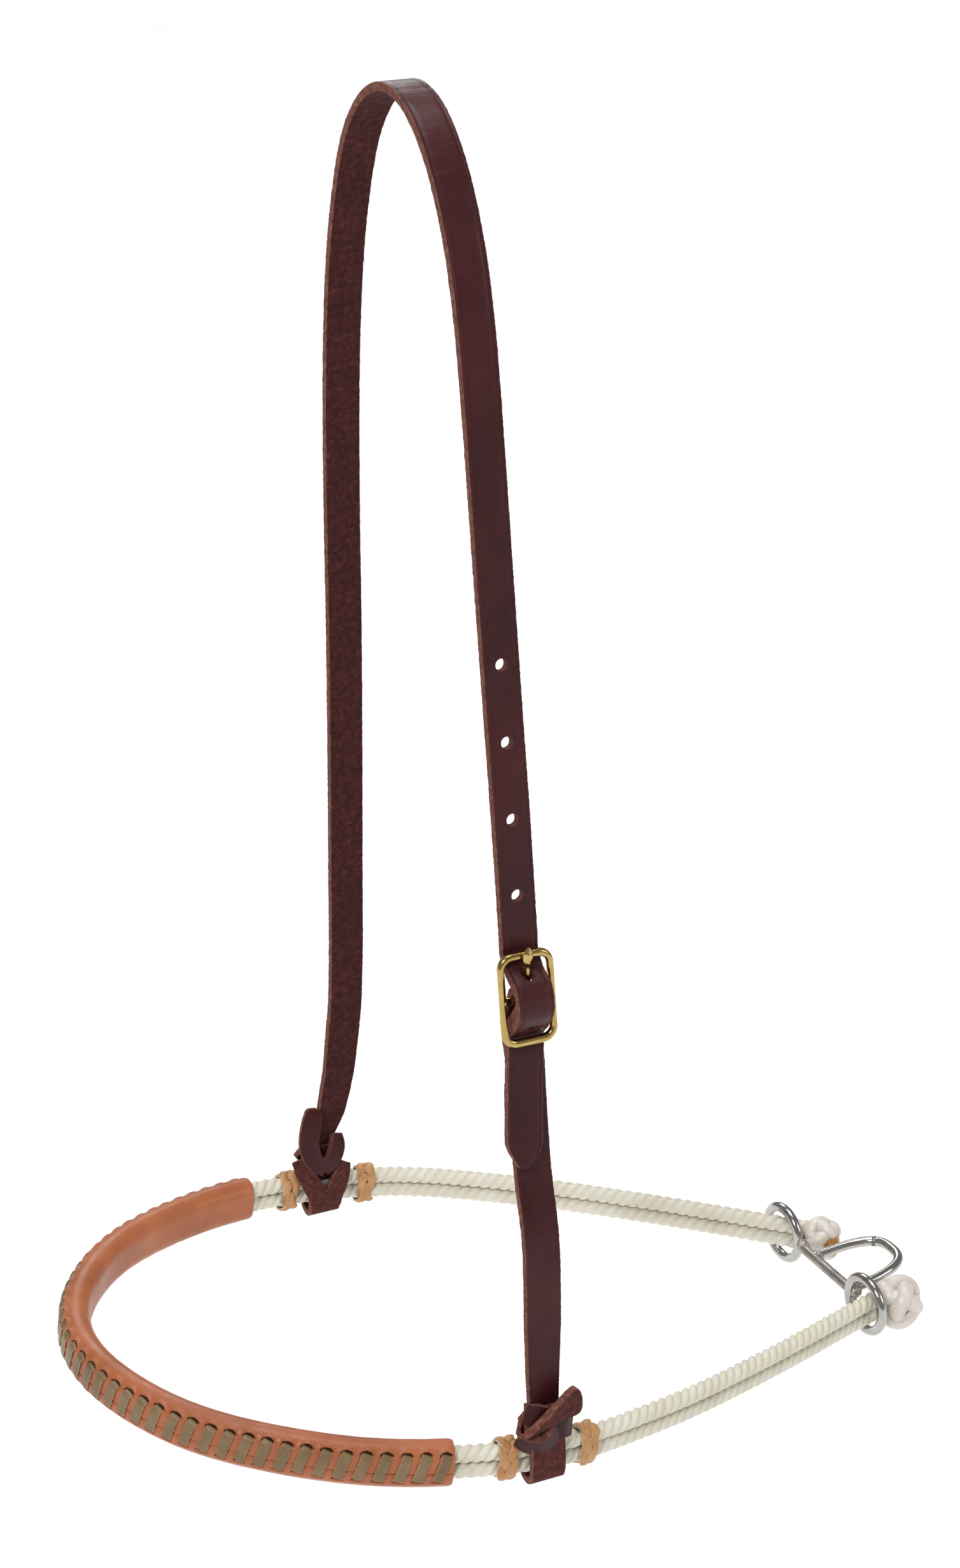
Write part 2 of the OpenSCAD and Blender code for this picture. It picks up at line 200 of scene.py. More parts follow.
def strip(name, points, normals, width, thickness, crease=0.0, rough=0.05, ragged=0.1, seed=1.0,
          round_start=0.0, round_end=0.0, curl=0.0, mats=None):
    """A leather strip along points (mm). normals point out of its grain side.
    width and thickness may vary along it; round_start and round_end round its ends (mm)."""
    p = np.asarray(points, float)
    n_pts = len(p)
    t = tangents(p)
    nrm = unit(np.asarray(normals, float) - (np.sum(normals * t, 1, keepdims=True)) * t)
    across = unit(np.cross(t, nrm))
    s = arc_lengths(p)
    w = np.broadcast_to(np.asarray(width, float), (n_pts,)).copy()
    th = np.broadcast_to(np.asarray(thickness, float), (n_pts,)).copy()
    for i in range(n_pts):
        for radius, d in ((round_start, s[i]), (round_end, s[-1] - s[i])):
            if radius > 0 and d < radius:
                k = 1 - d / radius
                w[i] *= max(0.08, math.sqrt(max(0.0, 1 - k * k)))
                th[i] *= 1 - 0.25 * k ** 3
    rings = []
    for i in range(n_pts):
        ring = []
        for j, (a, b) in enumerate(SECTION):
            depth = b * th[i] / 2
            if crease and j in CREASE_SPOTS:
                depth -= crease
            if crease and (j - 1 in CREASE_SPOTS or j + 1 in CREASE_SPOTS):
                depth -= crease * 0.25
            side = a * w[i] / 2
            q = p[i] + across[i] * side + nrm[i] * (depth - curl * a * a)
            broad = wobble(q, 1.1, seed)
            fine = wobble(q, 3.7, seed + 3)
            on_edge, on_flesh, on_grain = abs(a) > 0.98, b < -0.9, b > 0.9
            if on_edge:
                q = q + across[i] * np.sign(a) * ragged * (0.6 * broad + 0.8 * fine)
            if on_flesh:
                q = q - nrm[i] * rough * (broad + fine)
            elif on_grain:
                q = q + nrm[i] * 0.25 * rough * broad
            ring.append(q)
        rings.append(ring)
    around = [0.0]
    for j in range(len(SECTION)):
        a, b = SECTION[j], SECTION[(j + 1) % len(SECTION)]
        du = math.hypot((b[0] - a[0]) * w.max() / 2, (b[1] - a[1]) * th.max() / 2)
        around.append(around[-1] + du)
    around = [(u - around[GRAIN_MIDDLE]) * MM for u in around]
    obj = rings_mesh(name, np.array(rings) * MM, s * MM, around, STRIP_MATERIAL)
    for m in (mats or GRAIN_OUT):
        obj.data.materials.append(m)
    return obj


def tube(name, points, radius, sides, material, closed=False):
    """A round wire or thread along points (mm)."""
    p = np.asarray(points, float)
    t = tangents(p)
    if closed:
        t = unit(np.roll(p, -1, 0) - np.roll(p, 1, 0))
    ref = np.array([0.0, 0.0, 1.0])
    if abs(t[0] @ ref) > 0.9:
        ref = np.array([0.0, 1.0, 0.0])
    n = unit(ref - (ref @ t[0]) * t[0])
    rings = []
    r = np.broadcast_to(np.asarray(radius, float), (len(p),))
    for i in range(len(p)):
        n = unit(n - (n @ t[i]) * t[i])
        b = np.cross(t[i], n)
        rings.append([p[i] + r[i] * (math.cos(a) * n + math.sin(a) * b)
                      for a in np.linspace(0, 2 * math.pi, sides, endpoint=False)])
    around = np.linspace(0, 2 * math.pi * float(r.max()), sides + 1) * MM
    s = arc_lengths(p) * MM
    obj = rings_mesh(name, np.array(rings) * MM, s, around, closed=closed)
    obj.data.materials.append(material)
    return obj


def blob(name, material, place):
    """A ball with each direction d from its middle put at place(d), in mm."""
    bm = bmesh.new()
    bmesh.ops.create_icosphere(bm, subdivisions=4, radius=1.0)
    for v in bm.verts:
        v.co = Vector(place(np.array(v.co)) * MM)
    mesh = bpy.data.meshes.new(name)
    bm.to_mesh(mesh)
    bm.free()
    obj = smooth_object(name, mesh)
    obj.data.materials.append(material)
    return obj


def join(name, objects):
    """Several meshes as one object."""
    bpy.ops.object.select_all(action="DESELECT")
    for o in objects:
        o.select_set(True)
    bpy.context.view_layer.objects.active = objects[0]
    bpy.ops.object.join()
    objects[0].name = name
    objects[0].data.name = name
    return objects[0]


def finish_piece(obj, body, slot, *nodes):
    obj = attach(obj, body)
    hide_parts(*nodes)


# ---------------------------------------------------------------- materials
def node_material(name):
    mat = bpy.data.materials.new(name)
    mat.use_nodes = True
    tree = mat.node_tree
    return mat, tree, tree.nodes["Principled BSDF"]


def ramp(tree, source, stops):
    node = tree.nodes.new("ShaderNodeValToRGB")
    els = node.color_ramp.elements
    while len(els) < len(stops):
        els.new(0.5)
    for el, (pos, col) in zip(els, stops):
        el.position = pos
        el.color = (*col, 1)
    tree.links.new(source, node.inputs["Fac"])
    return node.outputs["Color"]


def noise_out(tree, vector, scale, detail=4.0, rough=0.55):
    node = tree.nodes.new("ShaderNodeTexNoise")
    node.inputs["Scale"].default_value = scale
    node.inputs["Detail"].default_value = detail
    node.inputs["Roughness"].default_value = rough
    tree.links.new(vector, node.inputs["Vector"])
    return node.outputs["Fac"]


# sockets of a Mix node that mixes colours
MIX_FACTOR, MIX_A, MIX_B, MIX_RESULT = 0, 6, 7, 2


def mix(tree, factor, colour, tint):
    """colour, going over to tint where factor is high."""
    node = tree.nodes.new("ShaderNodeMix")
    node.data_type = "RGBA"
    tree.links.new(factor, node.inputs[MIX_FACTOR])
    tree.links.new(colour, node.inputs[MIX_A])
    node.inputs[MIX_B].default_value = (*tint, 1)
    return node.outputs[MIX_RESULT]


def times(tree, value, number):
    node = tree.nodes.new("ShaderNodeMath")
    node.operation = "MULTIPLY"
    tree.links.new(value, node.inputs[0])
    node.inputs[1].default_value = number
    return node.outputs[0]


def bump(tree, height, strength, distance, base=None):
    node = tree.nodes.new("ShaderNodeBump")
    node.inputs["Strength"].default_value = strength
    node.inputs["Distance"].default_value = distance
    tree.links.new(height, node.inputs["Height"])
    if base is not None:
        tree.links.new(base, node.inputs["Normal"])
    return node.outputs["Normal"]


def object_vector(tree):
    return tree.nodes.new("ShaderNodeTexCoord").outputs["Object"]


def uv_vector(tree, stretch):
    out = tree.nodes.new("ShaderNodeTexCoord").outputs["UV"]
    node = tree.nodes.new("ShaderNodeMapping")
    node.inputs["Scale"].default_value = stretch
    tree.links.new(out, node.inputs["Vector"])
    return node.outputs["Vector"]


def voronoi_out(tree, vector, scale, feature="DISTANCE_TO_EDGE"):
    node = tree.nodes.new("ShaderNodeTexVoronoi")
    node.feature = feature
    node.inputs["Scale"].default_value = scale
    tree.links.new(vector, node.inputs["Vector"])
    return node.outputs["Distance"]


def leather(name, dark, mid, light, roughness, pore=900.0, pore_strength=0.12, coat=0.0,
            blotch=22.0, streak=None, wrinkle=0.0, shine=0.35):
    """Tanned leather: blotchy dye, pores and fine wrinkles."""
    mat, tree, shader = node_material(name)
    vec = object_vector(tree)
    patches = noise_out(tree, vec, blotch, 5)
    colour = ramp(tree, patches, [(0.30, dark), (0.52, mid), (0.74, light)])
    fine = noise_out(tree, vec, 260, 3)
    colour = mix(tree, times(tree, fine, 0.35), colour, dark)
    if streak:
        lines = noise_out(tree, uv_vector(tree, (streak, 30, 1)), 1.0, 3)
        colour = mix(tree, times(tree, lines, 0.3), colour, light)
    tree.links.new(colour, shader.inputs["Base Color"])
    rough = ramp(tree, noise_out(tree, vec, 75, 4),
                 [(0.3, (roughness - 0.09,) * 3), (0.7, (roughness + 0.12,) * 3)])
    tree.links.new(rough, shader.inputs["Roughness"])
    pores = voronoi_out(tree, vec, pore)
    normal = bump(tree, pores, pore_strength, 0.0003)
    normal = bump(tree, fine, 0.14, 0.0004, normal)
    if wrinkle:
        folds = noise_out(tree, uv_vector(tree, (60, 320, 1)), 1.0, 4, 0.6)
        normal = bump(tree, folds, wrinkle, 0.0006, normal)
    tree.links.new(normal, shader.inputs["Normal"])
    shader.inputs["Specular IOR Level"].default_value = shine
    shader.inputs["Coat Weight"].default_value = coat
    shader.inputs["Coat Roughness"].default_value = 0.35
    return mat


def suede(name, dark, mid, light, fuzz=0.08):
    """The rough flesh side or cut edge of leather."""
    mat, tree, shader = node_material(name)
    vec = object_vector(tree)
    nap = noise_out(tree, vec, 520, 6, 0.7)
    patches = noise_out(tree, vec, 46, 4)
    colour = ramp(tree, nap, [(0.30, dark), (0.52, mid), (0.72, light)])
    colour = mix(tree, times(tree, patches, 0.5), colour, dark)
    tree.links.new(colour, shader.inputs["Base Color"])
    shader.inputs["Roughness"].default_value = 0.92
    shader.inputs["Specular IOR Level"].default_value = 0.2
    shader.inputs["Sheen Weight"].default_value = fuzz
    shader.inputs["Sheen Roughness"].default_value = 0.5
    shader.inputs["Sheen Tint"].default_value = (*light, 1)
    normal = bump(tree, nap, 0.7, 0.0005)
    normal = bump(tree, noise_out(tree, vec, 1500, 4, 0.7), 0.5, 0.0003, normal)
    tree.links.new(normal, shader.inputs["Normal"])
    return mat


def rope_material(name, tint_a, tint_b, glossy=0.36):
    """Waxed nylon: yarn lines along the strand, waxy translucence."""
    mat, tree, shader = node_material(name)
    vec = object_vector(tree)
    wax = noise_out(tree, vec, 70, 4)
    colour = ramp(tree, wax, [(0.3, tint_a), (0.7, tint_b)])
    yarn = noise_out(tree, uv_vector(tree, (4200, 130, 1)), 1.0, 2)
    colour = mix(tree, times(tree, yarn, 0.30), colour, tuple(c * 0.72 for c in tint_a))
    specks = voronoi_out(tree, vec, 60, "F1")
    speck_mask = ramp(tree, specks, [(0.0, (1, 1, 1)), (0.035, (0, 0, 0))])
    colour = mix(tree, speck_mask, colour, (0.24, 0.19, 0.12))
    tree.links.new(colour, shader.inputs["Base Color"])
    shader.inputs["Roughness"].default_value = glossy
    shader.inputs["Subsurface Weight"].default_value = 0.25
    shader.inputs["Subsurface Radius"].default_value = (0.002, 0.0016, 0.0011)
    shader.inputs["Subsurface Scale"].default_value = 1.0
    shader.inputs["Coat Weight"].default_value = 0.25
    shader.inputs["Coat Roughness"].default_value = 0.3
    normal = bump(tree, yarn, 0.35, 0.0003)
    normal = bump(tree, wax, 0.25, 0.0006, normal)
    tree.links.new(normal, shader.inputs["Normal"])
    return mat


def metal(name, colour_a, colour_b, roughness, scratch=0.15, dull=0.0):
    """Polished or plated metal with faint wear."""
    mat, tree, shader = node_material(name)
    vec = object_vector(tree)
    wear = noise_out(tree, vec, 120, 5)
    colour = ramp(tree, wear, [(0.35, colour_a), (0.65, colour_b)])
    tree.links.new(colour, shader.inputs["Base Color"])
    shader.inputs["Metallic"].default_value = 1.0
    rough = ramp(tree, noise_out(tree, vec, 300, 4),
                 [(0.3, (roughness,) * 3), (0.75, (roughness + 0.12 + dull,) * 3)])
    tree.links.new(rough, shader.inputs["Roughness"])
    normal = bump(tree, noise_out(tree, vec, 900, 3), scratch, 0.0002)
    normal = bump(tree, wear, 0.12, 0.0004, normal)
    tree.links.new(normal, shader.inputs["Normal"])
    return mat


latigo_grain = leather("latigo_grain", (0.018, 0.003, 0.004), (0.044, 0.007, 0.009), (0.078, 0.014, 0.015),
                       0.40, coat=0.0, shine=0.22, streak=700, wrinkle=0.25)
latigo_edge = suede("latigo_edge", (0.085, 0.026, 0.020), (0.20, 0.075, 0.055), (0.36, 0.17, 0.12))
latigo_flesh = suede("latigo_flesh", (0.022, 0.006, 0.006), (0.060, 0.014, 0.013),
                     (0.12, 0.034, 0.028), 0.05)
latigo_suede = suede("latigo_suede", (0.040, 0.010, 0.009), (0.10, 0.028, 0.024),
                     (0.17, 0.055, 0.044), 0.08)
russet = leather("russet_leather", (0.30, 0.083, 0.029), (0.42, 0.128, 0.046), (0.52, 0.185, 0.075), 0.40,
                 coat=0.1, blotch=30.0, pore=1300.0, pore_strength=0.1)
russet_edge = suede("russet_edge", (0.36, 0.16, 0.09), (0.52, 0.27, 0.16), (0.64, 0.38, 0.25), 0.1)
# painted shade: a near-black suede laid in the lace slots' recesses, where shade falls
slot_painted_shade = suede("slot_painted_shade", (0.028, 0.008, 0.004), (0.06, 0.018, 0.009), (0.12, 0.04, 0.02), 0.0)
lace_face = leather("lace_leather", (0.13, 0.08, 0.035), (0.20, 0.13, 0.058), (0.28, 0.19, 0.095), 0.4,
                    coat=0.1, blotch=60.0)
lace_edge = suede("lace_edge", (0.34, 0.25, 0.15), (0.48, 0.37, 0.23), (0.6, 0.48, 0.33), 0.1)
rawhide_face = leather("rawhide", (0.36, 0.165, 0.052), (0.50, 0.25, 0.09), (0.62, 0.36, 0.16), 0.4,
                       coat=0.2, blotch=120.0)
rawhide_edge = suede("rawhide_edge", (0.45, 0.28, 0.15), (0.66, 0.50, 0.34), (0.82, 0.72, 0.58), 0.1)
rope_nylon = rope_material("waxed_nylon", (0.66, 0.62, 0.49), (0.78, 0.75, 0.65))
knot_nylon = rope_material("knot_nylon", (0.64, 0.57, 0.50), (0.80, 0.75, 0.69), 0.28)
amber = rope_material("melted_nylon", (0.50, 0.20, 0.05), (0.74, 0.46, 0.18), 0.25)
brass = metal("brass", (0.40, 0.275, 0.085), (0.52, 0.375, 0.14), 0.10, 0.08)
nickel = metal("nickel", (0.40, 0.385, 0.365), (0.50, 0.485, 0.465), 0.07, 0.06)
nickel_dull = metal("nickel_dull", (0.27, 0.24, 0.215), (0.42, 0.39, 0.36), 0.34, 0.5, 0.15)
seam_dark = metal("seam_shadow", (0.16, 0.16, 0.17), (0.2, 0.2, 0.21), 0.4)
thread_mat = rope_material("waxed_thread", (0.16, 0.11, 0.06), (0.22, 0.16, 0.09))

# a strip's face, cut edge and back, with its grain or its suede side turned out
GRAIN_OUT = (latigo_grain, latigo_edge, latigo_flesh)
SUEDE_OUT = (latigo_suede, latigo_edge, latigo_grain)
LACE = (lace_face, lace_edge, lace_edge)
RAWHIDE = (rawhide_face, rawhide_edge, rawhide_edge)

# ---------------------------------------------------------------- the CAD model's own lines
YAW = math.radians(5.78)
ALONG = np.array([math.cos(YAW), math.sin(YAW), 0.0])
ACROSS = np.array([-math.sin(YAW), math.cos(YAW), 0.0])
UP = np.array([0.0, 0.0, 1.0])


def in_headstall(x, u, v):
    """(along, across, up) of the headstall as a point, in mm."""
    return ALONG * x + ACROSS * u + UP * v


STRAP_W, STRAP_T, CHEEK_T = 12.7, 3.0, 2.6
HOLE_PITCH = 25.4
HOLE_R = 2.05
BAR_TO_HOLES = 12.5               # gives holes 1.0 to 1.6 mm below the CAD's
WIRE = 2.7                        # thickness of the buckle's wire
BAR_UP = 14.65                    # from the buckle's middle bar to its end bars
TONGUE_RISE = math.atan((WIRE / 2 + 1.15) / BAR_UP)
LEAN = math.radians(6.6)
BUCKLE_AT = np.array([-82.2, -276.0])
LEAN_UP = np.array([math.sin(LEAN), math.cos(LEAN)])
LEAN_OUT = np.array([-math.cos(LEAN), math.sin(LEAN)])
BEHIND = -WIRE / 2 - 1.2 - STRAP_T / 2
FOLD_MID = WIRE / 2 + 0.4 + CHEEK_T / 2
OVER_FOLD = WIRE / 2 + 0.4 + CHEEK_T + STRAP_T / 2 + 0.2
UNDER_TAIL = BEHIND - STRAP_T / 2 - CHEEK_T / 2 - 0.8
SECOND_PLY = UNDER_TAIL - CHEEK_T - 1.2
PIVOT_NEAR = np.array([-93.8, -417.1])
PIVOT_FAR = np.array([93.8, -409.5])
NEAR_KNOT_SHIFT = -2.9
FAR_KNOT_SHIFT = -9.0


def at_buckle(up, out):
    return BUCKLE_AT + LEAN_UP * up + LEAN_OUT * out


FAR_SIDE = [tuple(PIVOT_FAR), (87, -380), (79, -333), (75, -290), (71, -245), (67.5, -200), (64.5, -150),
            (60.5, -105), (54.5, -69), (46, -41), (34.5, -18.5), (18.5, -4), (0, 1.5)]
NEAR_TOP = [(-18.5, -3.5), (-34, -18), (-45, -38), (-51.5, -60), (-56, -88), (-60.5, -125),
            (-66.5, -175), (-71.5, -215)]
BUCKLE_RUN = [(30, BEHIND + 0.2), (19, BEHIND), (BAR_UP - 0.6, BEHIND), (8.6, -0.5),
              (4.5, OVER_FOLD - 1), (0, OVER_FOLD), (-4.2, OVER_FOLD - 0.8), (-8.8, 1.2),
              (1 - BAR_UP, BEHIND - 0.1), (-19, BEHIND)]
TAIL = [(-32, BEHIND), (-46, BEHIND + 0.8), (-58.5, BEHIND + 2)]

NOSE_AT = np.array([6.15, 0, -438.0])
NOSE_ROLL, NOSE_PITCH = 1.7, 6.5


def turning(*turns):
    """One matrix for turns of (degrees, axis), of which the last is made first."""
    whole = Matrix.Identity(3)
    for degrees, axis in turns:
        whole = whole @ Matrix.Rotation(math.radians(degrees), 3, axis)
    return np.array(whole)


NOSE_TURN = turning((NOSE_ROLL, "X"), (NOSE_PITCH, "Y"))


def in_noseband(p):
    """Points in the noseband's own frame as points of the part, in mm."""
    return np.asarray(p, float) @ NOSE_TURN.T + NOSE_AT


HALF_LOOP = [(-138.3, 0), (-128.6, 34.5), (-102.3, 65.3), (-55.3, 88.6), (0, 93.3),
             (49.1, 79.3), (98.1, 56.9), (148.7, 29.8), (161, 23.3)]
LOOP = [(x, -y) for x, y in HALF_LOOP[:0:-1]] + HALF_LOOP
ROPE_R = 3.1
COVER_T = 2.2
loop_line = even(curve_points(LOOP, 60), 0.25)
loop_s = arc_lengths(loop_line)
loop_heading = tangents(loop_line)
nose_index = int(np.argmin(loop_line[:, 0]))


def s_at(x, side):
    """Arc length along the loop where it passes x on the near (-1) or far (+1) side."""
    idx = range(nose_index, len(loop_line)) if side > 0 else range(nose_index, -1, -1)
    for i in idx:
        if loop_line[i, 0] >= x:
            return loop_s[i]
    return loop_s[idx[-1]]


def loop_frame(s):
    """Point, heading and outward side of the loop at arc lengths s."""
    s = np.atleast_1d(s)
    p = np.stack([np.interp(s, loop_s, loop_line[:, k]) for k in range(2)], 1)
    t = unit(np.stack([np.interp(s, loop_s, loop_heading[:, k]) for k in range(2)], 1))
    out = np.stack([-t[:, 1], t[:, 0]], 1)
    zero = np.zeros((len(s), 1))
    return np.hstack([p, zero]), np.hstack([t, zero]), np.hstack([out, zero])


# ---------------------------------------------------------------- straps
def outward_2d(line):
    t = tangents(line)
    return np.stack([t[:, 1], -t[:, 0]], 1)


def headstall_points(line, x):
    return np.array([in_headstall(xi, u, v) for xi, (u, v) in zip(x, line)])


def headstall_dirs(dirs):
    return np.array([ACROSS * d[0] + UP * d[1] for d in dirs])


def cut(obj, cutters):
    """Punches holes in obj with the cutters, then deletes them."""
    for c in cutters:
        mod = obj.modifiers.new("cut", "BOOLEAN")
        mod.operation = "DIFFERENCE"
        mod.solver = "EXACT"
        mod.object = c
        bpy.context.view_layer.objects.active = obj
        bpy.ops.object.modifier_apply(modifier=mod.name)
        bpy.data.objects.remove(c, do_unlink=True)


def punch(centre, direction, radius, depth=16.0, stretch=1.0):
    """A hole punch: a cylinder through centre (mm); stretch makes it oblong up the strap."""
    d = Vector(direction).normalized()
    bm = bmesh.new()
    bmesh.ops.create_cone(bm, cap_ends=True, segments=28, depth=depth * MM,
                          radius1=radius * MM, radius2=radius * MM)
    mesh = bpy.data.meshes.new("punch")
    bm.to_mesh(mesh)
    bm.free()
    mesh.materials.append(latigo_edge)
    obj = bpy.data.objects.new("punch", mesh)
    side = Vector(ALONG)
    up = d.cross(side).normalized()
    turn = Matrix((side, up * stretch, d)).transposed().to_4x4()
    turn.translation = Vector(centre) * MM
    mesh.transform(turn)
    bpy.context.collection.objects.link(obj)
    return obj


def crown_points():
    buckle = [tuple(at_buckle(*q)) for q in BUCKLE_RUN + TAIL]
    line = curve_points(FAR_SIDE + NEAR_TOP + buckle, 8)
    below = [(94.4, -423.5), (94.3, -416.0)]
    line = np.vstack([below, line])
    return even(line, 0.9)


def nearest(line, spot):
    """Index of the line's point nearest to spot."""
    return int(np.argmin(np.linalg.norm(line - spot, axis=1)))


def transverse_dents(line, spots):
    """Thins the strap a little across fold lines: spots are (distance, depth)."""
    s = arc_lengths(line)
    th = np.full(len(line), STRAP_T)
    for at, depth in spots:
        th -= depth * np.exp(-((s - at) / 0.9) ** 2)
    return th


def make_crown_strap():
    line = crown_points()
    s = arc_lengths(line)
    bottom_bar = s[nearest(line, at_buckle(-BAR_UP, BEHIND))]
    past = np.clip(s - bottom_bar, 0, None)
    x = -0.095 * past + np.interp(s, [0, 5, 15, 25, 44, 75], [-9.9, -9.6, -7.0, -3.9, -1.6, 0])
    width = np.interp(s, [0, 8, 20, 34, 60], [6.0, 8.4, 10.6, 11.8, STRAP_W])
    tip = np.clip((s - (s[-1] - 9.0)) / 9.0, 0, 1)
    width *= 1 - 0.8 * tip ** 1.7
    x -= 0.8 * tip ** 2
    thick = transverse_dents(line, [(s[-1] * 0.56, 0.22), (s[-1] * 0.60, 0.3), (s[-1] * 0.615, 0.18),
                                    (s[-1] * 0.70, 0.2), (s[-1] * 0.52, 0.15)])
    points = headstall_points(line, x)
    outward = headstall_dirs(outward_2d(line))
    obj = strip("crown_strap_leather", points, outward, width, thick,
                crease=0.24, rough=0.12, ragged=0.2, seed=2.0)
    # four spare holes above the buckle
    cutters = []
    middle_bar = s[nearest(line, at_buckle(0, OVER_FOLD))]
    for k in range(1, 5):
        i = int(np.searchsorted(s, middle_bar - (k * HOLE_PITCH + BAR_TO_HOLES)))
        cutters.append(punch(points[i], outward[i], HOLE_R))
    # the hole that the tongue goes through
    shaft = LEAN_UP * math.cos(TONGUE_RISE) + LEAN_OUT * math.sin(TONGUE_RISE)
    crossing = BUCKLE_AT + shaft * 8.6 + LEAN_OUT * 0.4
    shaft_3d = headstall_dirs([shaft])[0]
    cutters.append(punch(in_headstall(0, *crossing), shaft_3d, 1.75, 13.0, 1.45))
    # the hole below the middle bar: the CAD's is 14.1 mm below it and 4.1 mm across
    low = nearest(line, at_buckle(-8.6, 1.4))
    cutters.append(punch(points[low], outward[low], 1.6, 7.0))
    cut(obj, cutters)
    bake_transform(obj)
    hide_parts("crown_strap")


def cheek_points():
    inner = [at_buckle(*q) for q in [(-29, SECOND_PLY), (-19, SECOND_PLY), (-10.5, SECOND_PLY + 0.6)]]
    arc = [at_buckle(FOLD_MID * math.sin(math.radians(a)), FOLD_MID * math.cos(math.radians(a)))
           for a in range(156, -37, -16)]
    outer = [at_buckle(*q) for q in [(-7.6, -3.4), (-11.4, -7.2), (-16, UNDER_TAIL - 0.4),
                                     (-25, UNDER_TAIL), (-60, UNDER_TAIL + 1.6)]]
    low = [np.array([-91.0, -365.0]), PIVOT_NEAR, np.array([-94.3, -424.0]), np.array([-94.5, -429.0])]
    return even(np.vstack([inner, arc, curve_points(outer + low, 6)]), 0.7)


def make_cheek_strap():
    line = cheek_points()
    s = arc_lengths(line)
    left = s[-1] - s
    width = STRAP_W - 2.6 * np.clip(1 - left / 40.0, 0, 1) ** 1.2 - 1.6 * np.clip(1 - s / 16.0, 0, 1)
    x = np.interp(left, [0, 20, 60, 130, 150], [-2.4, -1.9, -0.6, 1.2, 1.3])
    x = x + 0.7 * np.clip(1 - s / 18.0, 0, 1)
    thick = CHEEK_T + 0.2 * np.clip((s - 45) / 20, 0, 1)
    points = headstall_points(line, x)
    obj = strip("cheek_strap_leather", points, headstall_dirs(outward_2d(line)), width, thick,
                crease=0.10, rough=0.12, ragged=0.2, seed=5.0)
    # the slot in the fold for the tongue's eye
    tongue_slot = punch(in_headstall(0, *at_buckle(1.2, 0)), headstall_dirs([LEAN_OUT])[0],
                        2.1, stretch=2.05)
    cut(obj, [tongue_slot])
    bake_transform(obj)
    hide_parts("cheek_strap")


def make_fold_stitching():
    parts = []
    for side in (-1, 1):
        for k in range(4):
            u, v = at_buckle(-18.5 - k * 2.6, SECOND_PLY - CHEEK_T / 2 + 0.1)
            a = in_headstall(side * 3.8 + 1.7, u, v)
            b = in_headstall(side * 3.8 + 1.9, u, v)
            lift = headstall_dirs([-LEAN_OUT])[0] * 0.3
            step = headstall_dirs([LEAN_UP])[0]
            path = [a + step * 1.05 - lift * 0.8, a + step * 0.8 + lift, (a + b) / 2 + lift * 1.5,
                    b - step * 0.8 + lift, b - step * 1.05 - lift * 0.8]
            parts.append(tube("stitch", curve_points(path, 4), 0.32, 10, thread_mat))
    finish_piece(join("fold_stitches", parts), "headstall", "thread", "cheek_fold_stitching")


# ---------------------------------------------------------------- buckle
BUCKLE_W = 20.0
BUCKLE_CORNER = 4.0


def rounded_frame(half_w, half_h, corner):
    steps = 14
    pts = []
    for cx, cz, start in ((1, 1, 0), (-1, 1, 90), (-1, -1, 180), (1, -1, 270)):
        for k in range(steps + 1):
            a = math.radians(start + 90 * k / steps)
            pts.append((cx * (half_w - corner) + corner * math.cos(a),
                        cz * (half_h - corner) + corner * math.sin(a)))
    return np.array(pts)


def buckle_point(x, up, out):
    return in_headstall(x, *at_buckle(up, out))


def make_buckle():
    half_w = BUCKLE_W / 2 - WIRE / 2
    outline = rounded_frame(half_w, BAR_UP, BUCKLE_CORNER)
    outline = np.vstack([outline, outline[:1]])
    step = 0.35
    outline = even(outline, step)[:-1]
    rings, along = [], []
    n = len(outline)
    centre_dir = headstall_dirs([LEAN_OUT])[0]
    up_dir = headstall_dirs([LEAN_UP])[0]
    for i in range(n):
        a, b = outline[i - 1], outline[(i + 1) % n]
        t = unit(b - a)
        side2 = np.array([t[1], -t[0]])
        side = ALONG * side2[0] + up_dir * side2[1]
        level = abs(t[0])
        r_in = 1.16 + 0.22 * level
        r_out = 1.28 + 0.12 * level
        c = buckle_point(outline[i][0], outline[i][1], 0)
        ring = []
        for a in np.linspace(0, 2 * math.pi, 24, endpoint=False):
            ca, sa = math.cos(a), math.sin(a)
            fa = power(ca, 0.86)
            fb = power(sa, 0.86)
            q = c + side * r_in * fa + centre_dir * r_out * fb
            q = q + side * 0.025 * wobble(q, 0.9, 4)
            ring.append(q)
        rings.append(ring)
        along.append(i * step * MM)
    around = np.linspace(0, 8.0, 25) * MM
    frame_obj = rings_mesh("buckle_ring", np.array(rings) * MM, along, around, closed=True)
    frame_obj.data.materials.append(brass)
    bar_points = [buckle_point(x, 0, 0) for x in np.linspace(-half_w, half_w, 24)]
    bar = tube("bar", bar_points, WIRE / 2, 20, brass)
    obj = join("buckle_frame_brass", [frame_obj, bar])
    finish_piece(obj, "buckle", "brass", "buckle_frame")


